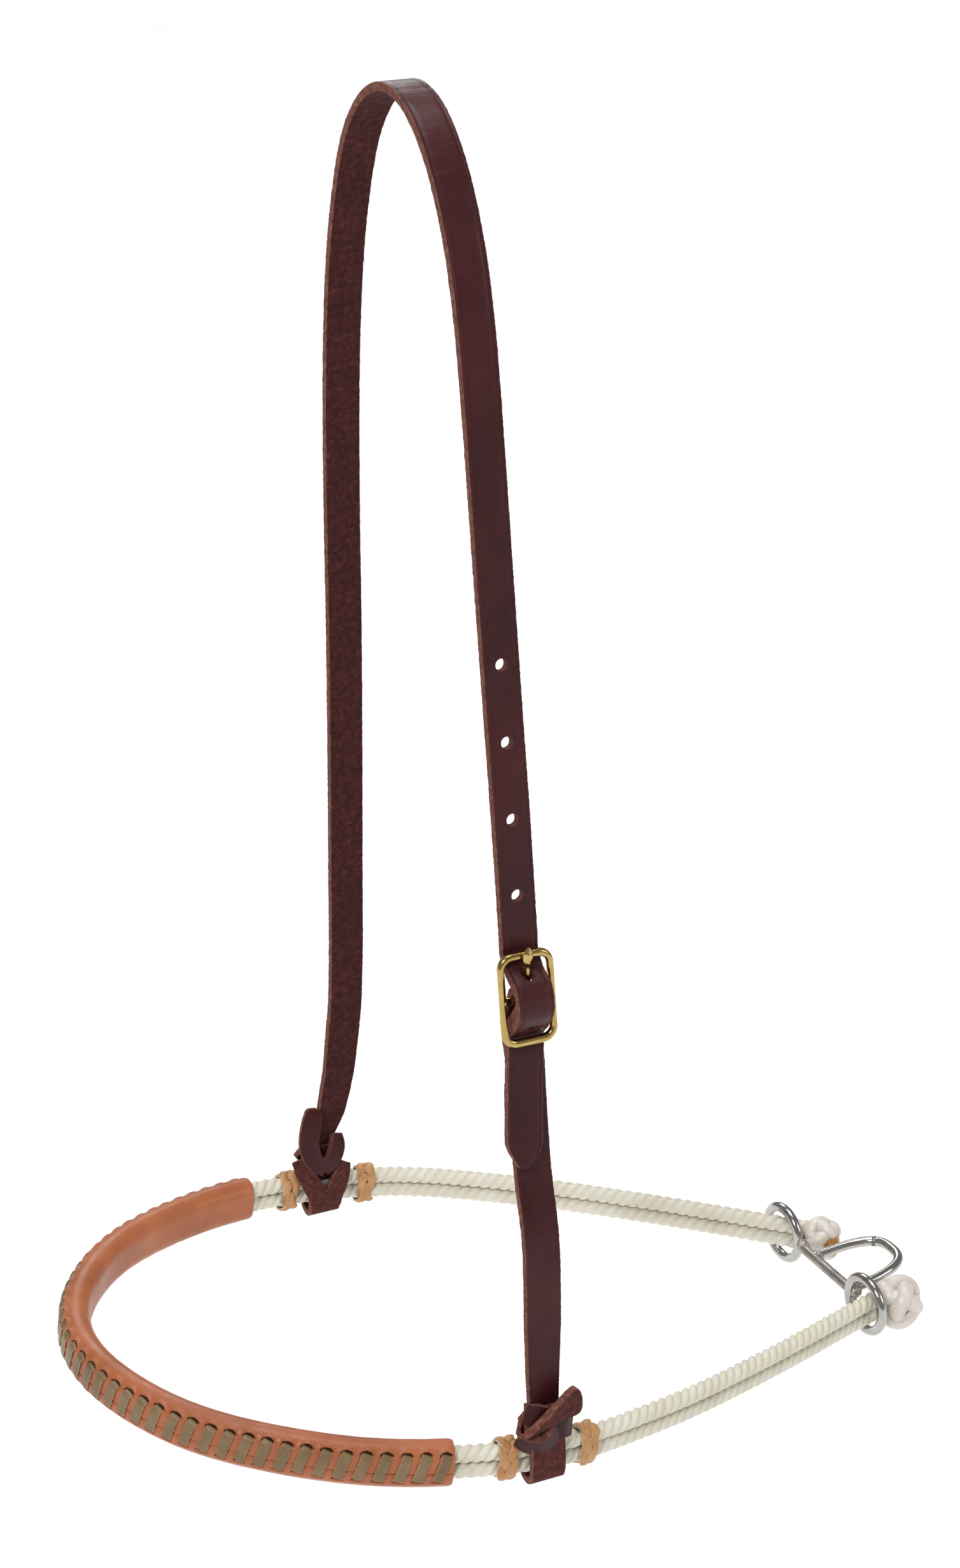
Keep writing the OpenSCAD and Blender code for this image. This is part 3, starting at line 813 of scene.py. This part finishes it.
def make_tongue():
    d_up, d_out = math.cos(TONGUE_RISE), math.sin(TONGUE_RISE)

    def at(x, up, out):
        return buckle_point(x, up * d_up - out * d_out, up * d_out + out * d_up)

    eye = []
    for a in np.linspace(0, 2 * math.pi, 40, endpoint=False):
        eye.append(buckle_point(0, 2.05 * math.cos(a), 2.05 * math.sin(a)))
    eye_obj = tube("eye", eye, 0.78, 14, brass, closed=True)
    # sections up the tongue: distance from the bar, half width and half thickness
    rings = []
    stations = [(1.6, 1.5, 1.1), (3.0, 1.15, 1.05), (6.0, 1.08, 1.05), (10.5, 1.05, 1.0),
                (12.6, 1.1, 1.0), (13.0, 1.45, 1.15), (14.2, 1.72, 1.25), (16.2, 1.62, 1.15),
                (17.4, 1.05, 0.85), (18.4, 0.3, 0.4)]
    sides = 16
    round_spans = 5
    for up, w, h in stations:
        head = up > 12.8
        lift = 0.25 if head else 0.0
        ring = []
        for k in range(sides):
            a = 2 * math.pi * k / sides
            if head:
                edge = 1.0 / max(abs(math.cos(a)) + 0.62 * abs(math.sin(a)), 0.7)
                ring.append(at(w * edge * math.cos(a) * 0.98, up, lift + h * edge * math.sin(a) * 0.95))
            else:
                ring.append(at(w * math.cos(a), up, h * math.sin(a)))
        rings.append(ring)
    shaft = rings_mesh("shaft", np.array(rings) * MM, [u * MM for u, _, _ in stations],
                       np.linspace(0, 7, sides + 1) * MM)
    for poly in shaft.data.polygons:
        poly.use_smooth = poly.index < sides * round_spans
    shaft.data.materials.append(brass)
    obj = join("tongue_brass", [eye_obj, shaft])
    finish_piece(obj, "tongue", "brass", "buckle_tongue")


# ---------------------------------------------------------------- ropes
def rope_section(n):
    """Outline of three strands pressed together, as (angle, radius)."""
    reach, strand = 1.15, 2.02
    out = []
    for k in range(n):
        a = 2 * math.pi * k / n
        phi = (a + math.pi / 3) % (2 * math.pi / 3) - math.pi / 3
        r = reach * math.cos(phi) + math.sqrt(max(strand ** 2 - (reach * math.sin(phi)) ** 2, 0.0))
        out.append((a, r))
    return out


LAY = 11.7                        # length of one full twist


def make_rope(name, node, z, seed):
    start = s_at(166.6 - 4.4, -1) - 2.0
    stop = s_at(157 - 4.4, 1) + 2.5
    s = np.arange(start, stop, 0.55)
    p, _, out = loop_frame(s)
    section = rope_section(27)
    rings = []
    for i in range(len(s)):
        turn = 2 * math.pi * s[i] / LAY + seed
        ring = []
        for a, r in section:
            ang = a - turn
            rr = r * (1 + 0.012 * wobble((s[i] * 0.3, a * 3, 0), 1.0, seed))
            q = p[i] + out[i] * rr * math.cos(ang) + UP * (z + rr * math.sin(ang))
            ring.append(q)
        rings.append(ring)
    rings = np.array([in_noseband(r) for r in rings])
    around = np.linspace(0, 2 * math.pi * ROPE_R, len(section) + 1) * MM
    obj = rings_mesh(name, rings * MM, (s - s[0]) * MM, around)
    obj.data.materials.append(rope_nylon)
    finish_piece(obj, "noseband", "nylon_rope", node)


# ---------------------------------------------------------------- nose cover and lacing
COVER_R = ROPE_R + COVER_T
SEAM_Z = -1.07
UPPER_SLOT = math.radians(26)
LOWER_SLOT = math.radians(-9)
LACES = 44
LACE_SLANT = 2.6


def stadium_point(q, r):
    """Distance q round the outer face, 0 at its middle, upwards positive, as (out, up) and the normal."""
    half = ROPE_R
    if abs(q) <= half:
        return np.array([r, q]), np.array([1.0, 0.0])
    a = (abs(q) - half) / r
    if a <= math.pi:
        sign = math.copysign(1, q)
        return (np.array([r * math.cos(a), sign * (half + r * math.sin(a))]),
                np.array([math.cos(a), sign * math.sin(a)]))
    return np.array([-r, math.copysign(half - (abs(q) - half - math.pi * r), q)]), np.array([-1.0, 0.0])


def cover_span():
    return s_at(-31.5, -1), s_at(-54.5, 1)


def lace_slots():
    """Upper and lower slot of each stitch, as (length along the cover, distance round it)."""
    s0, s1 = cover_span()
    pitch = (s1 - s0 - 7.0) / (LACES - 1)
    upper_q = ROPE_R + UPPER_SLOT * COVER_R
    lower_q = -(ROPE_R - LOWER_SLOT * COVER_R)
    out = []
    for k in range(LACES):
        s = s0 + 4.0 + pitch * k
        drift = 0.25 * math.sin(k * 2.1) + 0.15 * math.sin(k * 0.9)
        out.append((s - LACE_SLANT / 2 + 0.2 * drift, upper_q + drift * 0.5,
                    s + LACE_SLANT / 2 + 0.3 * drift, lower_q + 0.3 * drift))
    return out


def cover_columns():
    """Distances round the cover, closer together where the lacing is."""
    total = 4 * ROPE_R + 2 * math.pi * COVER_R
    front = np.arange(-6.4, 8.2, 0.27)
    rest = np.linspace(front[-1], front[0] + total, 42)[1:-1]
    return np.concatenate([front, rest]), total


def make_cover():
    s0, s1 = cover_span()
    n_along = int((s1 - s0) / 0.42) + 1
    s = np.linspace(s0, s1, n_along)
    p, _, out = loop_frame(s)
    qs, total = cover_columns()
    wrapped = np.where(qs > total / 2, qs - total, qs)
    bore_r = ROPE_R + 0.25
    squeeze = (4 * ROPE_R + 2 * math.pi * bore_r) / total
    slots = np.array(lace_slots())
    outer, inner, dark = [], [], []
    for i in range(n_along):
        end = min(s[i] - s0, s1 - s[i])
        q = wrapped
        seam_q = SEAM_Z + 0.2 * wobble((s[i] * 0.12, 0, 0), 1.0, 9)
        depth = 0.35 * math.exp(-end / 0.5) + 0.65 * np.exp(-((q - seam_q) / 0.30) ** 2)
        depth = depth - np.where((q > seam_q) & (q < seam_q + 2.2), 0.36 * (1 - (q - seam_q) / 2.2), 0)
        # hole weighs each lace slot's recess; where it is high the cover gets painted shade
        hole = np.zeros(len(q))
        for su, qu, sl, ql in slots[np.abs(slots[:, 0] - s[i]) < 7.5]:
            ds = s[i] - su
            arch = qu + 0.75 - 0.16 * ds ** 2
            du = np.exp(-(ds / 2.0) ** 6 - ((q - arch) / 0.62) ** 4)
            depth = depth + 1.15 * du
            depth = depth - 0.5 * np.exp(-(ds / 2.1) ** 4 - ((q - arch - 1.25) / 0.7) ** 2)
            dl = np.exp(-((s[i] - sl) / 1.9) ** 6 - ((q - ql + 0.42) / 0.42) ** 4)
            depth = depth + 0.8 * dl
            depth = depth - 0.28 * np.exp(-((s[i] - sl) / 1.9) ** 4 - ((q - ql + 1.4) / 0.55) ** 2)
            lane = sl + (su - sl) * (q - ql) / (qu - ql)
            inside = (q > ql) & (q < qu)
            depth = depth + np.where(inside, 0.22 * np.exp(-((s[i] - lane) / 1.9) ** 4), 0)
            hole = np.maximum(hole, np.maximum(du, 0.9 * dl))
        # dark marks the faces that get the painted shade
        dark.append(hole > 0.42)
        ring_o, ring_i = [], []
        for k in range(len(qs)):
            flat, nrm = stadium_point(wrapped[k], COVER_R)
            flat = flat + nrm * (0.07 * wobble((s[i] * 0.25, wrapped[k] * 0.4, 0), 1.0, 12) - depth[k])
            ring_o.append(p[i] + out[i] * flat[0] + UP * flat[1])
            flat, _ = stadium_point(wrapped[k] * squeeze, bore_r)
            ring_i.append(p[i] + out[i] * flat[0] + UP * flat[1])
        outer.append(ring_o)
        inner.append(ring_i)
    rings = [inner[0]] + outer + [inner[-1]] + inner[::-1][1:]
    rings = np.array([in_noseband(r) for r in rings])
    along = np.concatenate([[s[0] - 2], s, [s[-1] + 2], s[-1] + 2 + (s[-1] - s[::-1][1:])]) * MM
    around = np.append(qs, qs[0] + total) * MM
    n = rings.shape[1]
    obj = rings_mesh("nose_cover_leather", rings * MM, along, around, capped=False)
    obj.data.materials.append(russet)
    obj.data.materials.append(russet_edge)
    obj.data.materials.append(slot_painted_shade)
    # the cut ends get the edge material, the faces in the slot recesses the painted shade material
    for poly in obj.data.polygons:
        row, column = divmod(poly.index, n)
        if row == 0 or row >= n_along:
            poly.material_index = 1
        elif dark[row - 1][column]:
            poly.material_index = 2
    bm = bmesh.new()
    bm.from_mesh(obj.data)
    bmesh.ops.remove_doubles(bm, verts=bm.verts, dist=1e-7)
    bm.to_mesh(obj.data)
    bm.free()
    finish_piece(obj, "noseband", "russet_leather", "nose_cover")


def make_lacing():
    """Flat lace: each stitch leaves its upper slot, crosses the seam and dives into the lower one."""
    parts = []
    for k, (su, qu, sl, ql) in enumerate(lace_slots()):
        pts, nrms = [], []
        for f in np.linspace(-0.06, 1.05, 24):
            q = qu + (ql - qu) * f
            s = su + (sl - su) * f + 0.35 * math.sin(math.pi * f) * (0.4 if k % 2 else -0.2)
            p, _, out = loop_frame(s)
            flat, nrm = stadium_point(q, COVER_R)
            sink = 1.3 * max(0, 0.05 - f) / 0.11 + 1.1 * max(0, f - 0.96) / 0.09
            rise = 0.34 - sink + 0.10 * math.sin(math.pi * min(max(f, 0), 1))
            pos = p[0] + out[0] * (flat[0] + nrm[0] * rise) + UP * (flat[1] + nrm[1] * rise)
            pts.append(in_noseband(pos))
            nrms.append((out[0] * nrm[0] + UP * nrm[1]) @ NOSE_TURN.T)
        wide = 3.5 + 0.15 * math.sin(k * 1.7)
        lace = strip("lace", pts, nrms, wide, 0.62, rough=0.03, ragged=0.04, seed=20 + k, curl=0.10,
                     mats=LACE)
        parts.append(lace)
    finish_piece(join("lace_stitches", parts), "noseband", "lace", "cover_lacing")


# ---------------------------------------------------------------- stopper rings
def make_stopper(name, node, s_mid, seed):
    """A three-lead, five-bight plaited ring pressed round both ropes."""
    leads, bights = 3, 5
    total = 4 * ROPE_R + 2 * math.pi * (ROPE_R + 0.7)
    steps = 420
    pts, nrms = [], []
    for i in range(steps + 1):
        a = 2 * math.pi * i / steps
        turn = leads * a + seed
        q = ((turn / (2 * math.pi) + 0.5) % 1.0 - 0.5) * total
        side = 2.2 * math.sin(bights * a)
        height = 1.0 + 0.55 * math.sin(2 * bights * a)
        p, _, out = loop_frame(s_mid + side)
        flat, nrm = stadium_point(q, ROPE_R + height)
        pos = p[0] + out[0] * flat[0] + UP * flat[1]
        pts.append(in_noseband(pos))
        nrms.append((out[0] * nrm[0] + UP * nrm[1]) @ NOSE_TURN.T)
    lead = strip(name, pts, nrms, 2.9, 0.9, rough=0.05, ragged=0.14, seed=seed * 7 + 1, curl=0.45,
                 mats=RAWHIDE)
    finish_piece(lead, "noseband", "rawhide", node)


# ---------------------------------------------------------------- end knots
def make_end_knot(name, node, centre, heading, size, seed, sealed=False):
    """Both ropes' strands crowned and pulled tight: rounded strands wrapped over a core."""
    c = np.array([centre[0], centre[1], 0.0])
    ax = np.array([math.cos(heading), math.sin(heading), 0.0])
    side = np.array([-ax[1], ax[0], 0.0])
    leads, bights = 3, 4
    steps = 360
    strand_r = 0.172 * size
    ball = size / 2 - strand_r * 0.92
    pts = []
    for i in range(steps):
        a = 2 * math.pi * i / steps
        lat = 0.98 * math.sin(bights * a)
        lon = leads * a + seed
        r = ball * (1 + 0.10 * math.sin(2 * bights * a))
        around_r = r * math.cos(lat)
        q = (c + ax * r * math.sin(lat) * 0.95 + side * around_r * math.cos(lon)
             + UP * around_r * math.sin(lon) * 1.12)
        pts.append(in_noseband(q))

    def core_point(d):
        r = ball * 1.03 + 0.3 * wobble(d, 2.0, seed)
        return in_noseband(c + ax * d[0] * r * 0.95 + side * d[1] * r + UP * d[2] * r * 1.1)

    strand = tube("strand", pts, strand_r, 16, knot_nylon, closed=True)
    parts = [strand, blob("core", knot_nylon, core_point)]
    obj = join(name, parts)
    if sealed:
        # the strand ends are melted to amber on the side away from the ropes
        obj.data.materials.append(amber)
        burnt = Vector(in_noseband(c + ax * size * 0.34 - side * size * 0.26 + UP * size * 0.02) * MM)
        for poly in obj.data.polygons:
            if (poly.center - burnt).length < 0.0046:
                poly.material_index = 1
    finish_piece(obj, "noseband", "nylon_rope", node)


# ---------------------------------------------------------------- blood knots
KNOT_DROP = 24.0


def knot_point(side, x, z, n):
    """(along, up, outward) from the middle of the ropes at the near (-1) or far (+1) knot."""
    pivot = PIVOT_FAR if side > 0 else PIVOT_NEAR
    shift = FAR_KNOT_SHIFT if side > 0 else NEAR_KNOT_SHIFT
    return in_headstall(x + shift, pivot[0] + side * n, pivot[1] - KNOT_DROP + z)


def knot_strip(side, seed, points, normals, width, thickness, mats, **more):
    pts = curve_points(points, 8)
    nrm = unit(curve_points(normals, 8))
    width = curve_points([(w, 0) for w in np.broadcast_to(width, (len(points),))], 8)[:, 0]
    world = np.array([knot_point(side, *q) for q in pts])
    dirs = np.array([ALONG * v[0] + UP * v[1] + ACROSS * side * v[2] for v in nrm])
    even_s = arc_lengths(world)
    n = max(8, int(even_s[-1] / 0.5))
    t = np.linspace(0, even_s[-1], n)
    world = np.stack([np.interp(t, even_s, world[:, k]) for k in range(3)], 1)
    dirs = unit(np.stack([np.interp(t, even_s, dirs[:, k]) for k in range(3)], 1))
    width = np.interp(t, even_s, width)
    return strip("knot_part", world, dirs, width, thickness, rough=0.08, ragged=0.14,
                 seed=seed, mats=mats, **more)


def band_path(inner_top=14.0):
    """Round the rope pair from the outside top, under, to the inside top, with outward normals."""
    r = ROPE_R + 0.5 + 1.35
    pts, nrm = [], []
    for z, n in ((14, 3.0), (9.5, r), (ROPE_R, r + 0.1), (0, r + 0.15), (-ROPE_R, r)):
        pts.append((0, z, n))
        nrm.append((0, 0.35 if z > 12 else 0, 1))
    for a in (-35, -70, -90, -110, -145):
        pts.append((0, -ROPE_R + r * math.sin(math.radians(a)), r * math.cos(math.radians(a))))
        nrm.append((0, math.sin(math.radians(a)), math.cos(math.radians(a))))
    for z, n in ((-ROPE_R, -r), (0, -r - 0.1), (ROPE_R, -r), (9.5, -r + 0.3), (14, -2.8)):
        if z > inner_top:
            break
        pts.append((0, z, n))
        nrm.append((0, 0.35 if z > 12 else 0, -1))
    return pts, nrm


def core(lean, width, thickness):
    """The middle of a knot, seen only between the crossings."""
    return dict(points=[(0, 5.5, 0), (0, 12, lean), (0, 20, 0)], normals=[(0, 0, 1)] * 3,
                width=width, thickness=thickness, mats=GRAIN_OUT)


def crossing_arm(points, lean, outward, mats):
    """One of two arms that cross in a V. outward is 1 on the knot's outer side, -1 on its inner."""
    level = (0, 0, outward)
    return dict(points=points, normals=[(lean, 0, outward), level, level, (-lean, 0, outward)],
                width=[6.5, 7.4, 7.2, 6.0], thickness=2.3, mats=mats)


def band(width, path):
    points, normals = path
    return dict(points=points, normals=normals, width=width, thickness=2.6, mats=SUEDE_OUT)


NEAR_ARMS = [
    band(12.4, band_path()),
    core(0.2, 10.5, 5.4),
    # the tucked tail, up and to the right over everything
    dict(points=[(-7.6, 10.2, 3.0), (-5.6, 13.0, 5.0), (-1.6, 16.8, 6.8), (3.4, 20.0, 7.2),
                 (8.0, 21.8, 6.6), (12.2, 22.8, 5.6)],
         normals=[(0.3, -0.5, 0.75), (0.28, -0.45, 0.8), (0.25, -0.35, 0.88), (0.2, -0.25, 0.93),
                  (0.15, -0.15, 0.97), (0.2, -0.1, 0.97)],
         width=[4.2, 5.0, 6.6, 8.8, 11.2, 11.4], thickness=2.6, mats=SUEDE_OUT, round_end=2.6),
    # right arm, dark side out, under the tail
    dict(points=[(-6.0, 18.6, 1.0), (-2.8, 17.6, 3.4), (2.0, 15.0, 4.8), (6.2, 12.6, 4.6),
                 (9.2, 11.2, 2.8)],
         normals=[(-0.3, 0.2, 0.9), (-0.1, 0.15, 0.95), (0, 0.1, 0.98), (0.15, 0.1, 0.97),
                  (0.5, 0.1, 0.8)],
         width=[7.0, 8.6, 9.0, 8.6, 7.8], thickness=2.5, mats=GRAIN_OUT),
    # left arm: a crescent that flares out at the lower left
    dict(points=[(-10.2, 10.6, 2.8), (-7.0, 8.6, 4.8), (-2.6, 8.2, 6.1), (1.8, 10.6, 5.9),
                 (4.4, 14.5, 3.8)],
         normals=[(-0.4, -0.3, 0.85), (-0.2, -0.35, 0.9), (0, -0.3, 0.95), (0.2, -0.2, 0.95),
                  (0.3, -0.1, 0.9)],
         width=[4.4, 6.2, 6.6, 6.2, 5.5], thickness=2.4, mats=GRAIN_OUT),
    # on the inner side two arms cross
    crossing_arm([(-4.6, 17.0, -1.4), (-2.6, 13.8, -3.6), (2.6, 8.6, -4.2), (5.2, 5.6, -3.4)],
                 -0.2, -1, SUEDE_OUT),
    crossing_arm([(5.0, 17.4, -1.6), (3.0, 13.6, -4.4), (-2.4, 8.4, -5.2), (-5.0, 5.6, -3.8)],
                 0.2, -1, SUEDE_OUT),
]

# the inner side is the one the photograph shows
FAR_ARMS = [
    band(12.2, band_path(1.0)),
    core(-0.2, 10.0, 5.0),
    # tail at the left, dark side showing
    dict(points=[(-1.6, 37.5, -3.4), (-3.8, 31.0, -4.3), (-5.2, 23.0, -4.8), (-3.6, 16.4, -5.4),
                 (0.8, 11.6, -5.0)],
         normals=[(-0.25, 0.0, -0.95), (-0.2, 0, -0.98), (-0.1, 0, -1), (0.1, 0, -1), (0.2, 0, -0.9)],
         width=[6.4, 7.6, 7.6, 7.2, 6.0], thickness=2.5, mats=GRAIN_OUT, round_start=2.0),
    # right arm over the right shoulder
    dict(points=[(7.4, 23.4, -0.8), (6.6, 19.2, -3.4), (4.0, 14.4, -4.6), (0.2, 10.6, -4.2)],
         normals=[(0.5, 0.1, -0.8), (0.2, 0, -0.95), (0, 0, -1), (0, 0, -1)],
         width=[5.8, 6.6, 6.4, 5.6], thickness=2.3, mats=GRAIN_OUT),
    # lower arms: a V over the ropes that runs into the band
    dict(points=[(-8.8, 16.4, -2.8), (-7.5, 11.8, -4.6), (-5.2, 6.4, -5.8), (-3.0, 1.4, -6.0),
                 (-2.0, -3.0, -5.7)],
         normals=[(-0.3, 0, -0.95), (-0.15, 0, -1)] + [(0, 0, -1)] * 3,
         width=[5.6, 7.0, 7.4, 7.8, 8.0], thickness=2.5, mats=SUEDE_OUT),
    dict(points=[(9.6, 11.6, -2.8), (7.8, 8.2, -4.5), (5.5, 4.2, -5.7), (3.3, 0.2, -5.9),
                 (2.2, -3.4, -5.6)],
         normals=[(0.35, 0, -0.95), (0.15, 0, -1)] + [(0, 0, -1)] * 3,
         width=[5.4, 6.6, 7.2, 7.8, 8.0], thickness=2.5, mats=SUEDE_OUT),
    # on the outer side two arms cross
    crossing_arm([(-6.4, 18.4, 1.6), (-3.0, 13.8, 3.8), (2.6, 8.6, 4.4), (6.0, 5.2, 3.4)],
                 -0.2, 1, GRAIN_OUT),
    crossing_arm([(6.6, 18.4, 1.8), (3.2, 13.6, 4.6), (-2.4, 8.4, 5.4), (-6.2, 5.0, 3.8)],
                 0.2, 1, GRAIN_OUT),
]


def make_blood_knot(name, node, side, arms, first_seed):
    """The band round the ropes and the arms over it, each with its own seed."""
    parts = [knot_strip(side, first_seed + k, **arm) for k, arm in enumerate(arms)]
    finish_piece(join(name, parts), "blood_knots", "latigo", node)


# ---------------------------------------------------------------- tie-down hardware
BAR_AT = np.array([151, 2.3, -0.3])
HARDWARE_YAW, HARDWARE_ROLL = 8, -1.6
HARDWARE_TURN = turning((HARDWARE_YAW, "Z"), (HARDWARE_ROLL, "X"))
WIRE_R = 1.9
RING_R = 10.2
RING_AHEAD = -0.6
RING_TURN = turning((3, "Z"), (-6, "Y"))
# The CAD rings are at -28.9 and 28.9: a fault, these two stand 2.1 mm to the far side of them.
NEAR_RING_ACROSS = -26.8
FAR_RING_ACROSS = 31.0
BAR_HALF = 18.9
DEE_SIDE = -2.9
DEE_REACH = 27.0
DEE_HALF = 12.9
DEE_ROUND = 0.7
DEE_TILT = math.radians(13)


def in_hardware(q):
    return in_noseband(np.asarray(q, float) @ HARDWARE_TURN.T + BAR_AT)


def make_rope_ring(name, node, across):
    centre = np.array([RING_AHEAD, across, 0])
    pts = []
    for a in np.linspace(0, 2 * math.pi, 130, endpoint=False):
        flat = np.array([0, RING_R * math.cos(a), RING_R * math.sin(a)])
        pts.append(in_hardware(RING_TURN @ flat + centre))
    obj = tube(name, pts, WIRE_R, 28, nickel, closed=True)
    finish_piece(obj, "tie_down", "nickel", node)


def make_cross_bar():
    across = np.linspace(-BAR_HALF, BAR_HALF, 90)
    pts = [in_hardware((0, k, 0)) for k in across]
    radius = [WIRE_R * (1 + 0.05 * wobble((k * 0.35, 0, 0), 1.0, 3)) for k in across]
    obj = tube("cross_bar_metal", pts, np.array(radius), 24, nickel_dull)
    finish_piece(obj, "tie_down", "nickel", "cross_bar")


def make_dee():
    steps = 130
    pts = []
    for k in range(steps + 1):
        a = math.pi * k / steps
        reach = DEE_REACH * power(math.sin(a), DEE_ROUND)
        side = DEE_HALF * power(math.cos(a), DEE_ROUND)
        pts.append([reach * math.cos(DEE_TILT), side + DEE_SIDE, reach * math.sin(DEE_TILT)])
    pts = smooth_line(even(np.array(pts), 0.5), 6)
    obj = tube("dee_metal", [in_hardware(q) for q in pts], WIRE_R, 26, nickel)
    # the thin dark line where the wire's ends meet
    k = int(len(pts) * 0.36)
    seam = tube("seam", [in_hardware(pts[k + j]) for j in range(4)], WIRE_R + 0.05, 26, seam_dark)
    finish_piece(join("tie_down_dee_metal", [obj, seam]), "tie_down", "nickel", "tie_down_dee")


DEE_WELD = 12.8
# middle and half sizes: a weld at each end of the bar, one at each end of the dee,
# then a small lump beside each of the first two
WELDS = [((0.3, -18.7, 0.6), (2.3, 2.0, 2.3)),
         ((0.2, 18.6, 0.8), (2.3, 2.2, 2.3)),
         ((2.0, DEE_SIDE + DEE_WELD, 0.5), (2.0, 2.3, 2.1)),
         ((2.0, DEE_SIDE - DEE_WELD, 0.5), (2.0, 2.4, 2.1)),
         ((-0.4, 19.6, 1.9), (1.2, 1.3, 1.3)),
         ((-0.8, -19.2, -1.8), (1.3, 1.3, 1.4))]


def weld_blob(centre, size, seed):
    def place(d):
        r = 1 + 0.16 * wobble(d, 2.6, seed) + 0.06 * wobble(d, 7.0, seed)
        return in_hardware(np.array(centre) + d * np.array(size) * r)

    return blob("weld", nickel_dull, place)


def make_welds():
    blobs = [weld_blob(centre, size, k + 1) for k, (centre, size) in enumerate(WELDS)]
    finish_piece(join("weld_beads_metal", blobs), "tie_down", "nickel", "weld_beads")


# ---------------------------------------------------------------- floor and light
def make_studio():
    mat, tree, shader = node_material("floor")
    vec = object_vector(tree)
    colour = ramp(tree, noise_out(tree, vec, 3, 2), [(0.3, (0.94,) * 3), (0.7, (0.96,) * 3)])
    shader.inputs["Base Color"].default_value = (0.25, 0.25, 0.25, 1)
    tree.links.new(colour, shader.inputs["Emission Color"])
    shader.inputs["Emission Strength"].default_value = 0.95
    shader.inputs["Roughness"].default_value = 0.9
    bpy.ops.mesh.primitive_plane_add(size=14, location=(0, 0, -0.62))
    floor = bpy.context.object
    floor.name = "floor"
    floor.data.materials.append(mat)
    world = bpy.data.worlds.new("studio")
    world.use_nodes = True
    world.node_tree.nodes["Background"].inputs["Color"].default_value = (1, 1, 1, 1)
    world.node_tree.nodes["Background"].inputs["Strength"].default_value = 0.30
    bpy.context.scene.world = world
    bpy.context.scene.view_settings.view_transform = "Standard"
    lamps = [("key", (-1.1, -1.3, 1.3), 26, 0.7),
             ("fill", (1.6, -1.2, 0.6), 7, 0.9),
             ("top", (0.1, 0.2, 1.8), 20, 1.1),
             ("back", (0.3, 1.7, 0.9), 9, 0.8)]
    for name, place, power, size in lamps:
        data = bpy.data.lights.new(name, "AREA")
        data.energy = power
        data.size = size
        lamp = bpy.data.objects.new(name, data)
        lamp.location = place
        aim = Vector((0, 0, -0.25)) - Vector(place)
        lamp.rotation_euler = aim.to_track_quat("-Z", "Y").to_euler()
        bpy.context.collection.objects.link(lamp)


make_crown_strap()
make_cheek_strap()
make_fold_stitching()
make_buckle()
make_tongue()
make_rope("upper_rope_laid", "upper_nose_rope", ROPE_R - 0.12, 0.4)
make_rope("lower_rope_laid", "lower_nose_rope", 0.12 - ROPE_R, 2.0)
make_cover()
make_lacing()
make_stopper("near_front_braid", "near_front_stopper", s_at(-13.0, -1), 1.0)
make_stopper("near_rear_braid", "near_rear_stopper", s_at(16.9, -1), 2.3)
# 1.4 mm ahead of its CAD solid, to stay off the blood knot
make_stopper("far_front_braid", "far_front_stopper", s_at(-38.0, 1), 3.1)
make_stopper("far_rear_braid", "far_rear_stopper", s_at(-6.7, 1), 4.4)
make_end_knot("near_crown_knot", "near_end_knot", (167.2, -24.4), math.radians(28), 18.6, 1.2)
make_end_knot("far_crown_knot", "far_end_knot", (157.9, 23.7), math.radians(-28), 15.8, 3.4, sealed=True)
make_blood_knot("near_blood_knot_leather", "near_blood_knot", -1, NEAR_ARMS, 31)
make_blood_knot("far_blood_knot_leather", "far_blood_knot", 1, FAR_ARMS, 41)
make_rope_ring("near_ring_metal", "near_rope_ring", NEAR_RING_ACROSS)
make_rope_ring("far_ring_metal", "far_rope_ring", FAR_RING_ACROSS)
make_cross_bar()
make_dee()
make_welds()
make_studio()
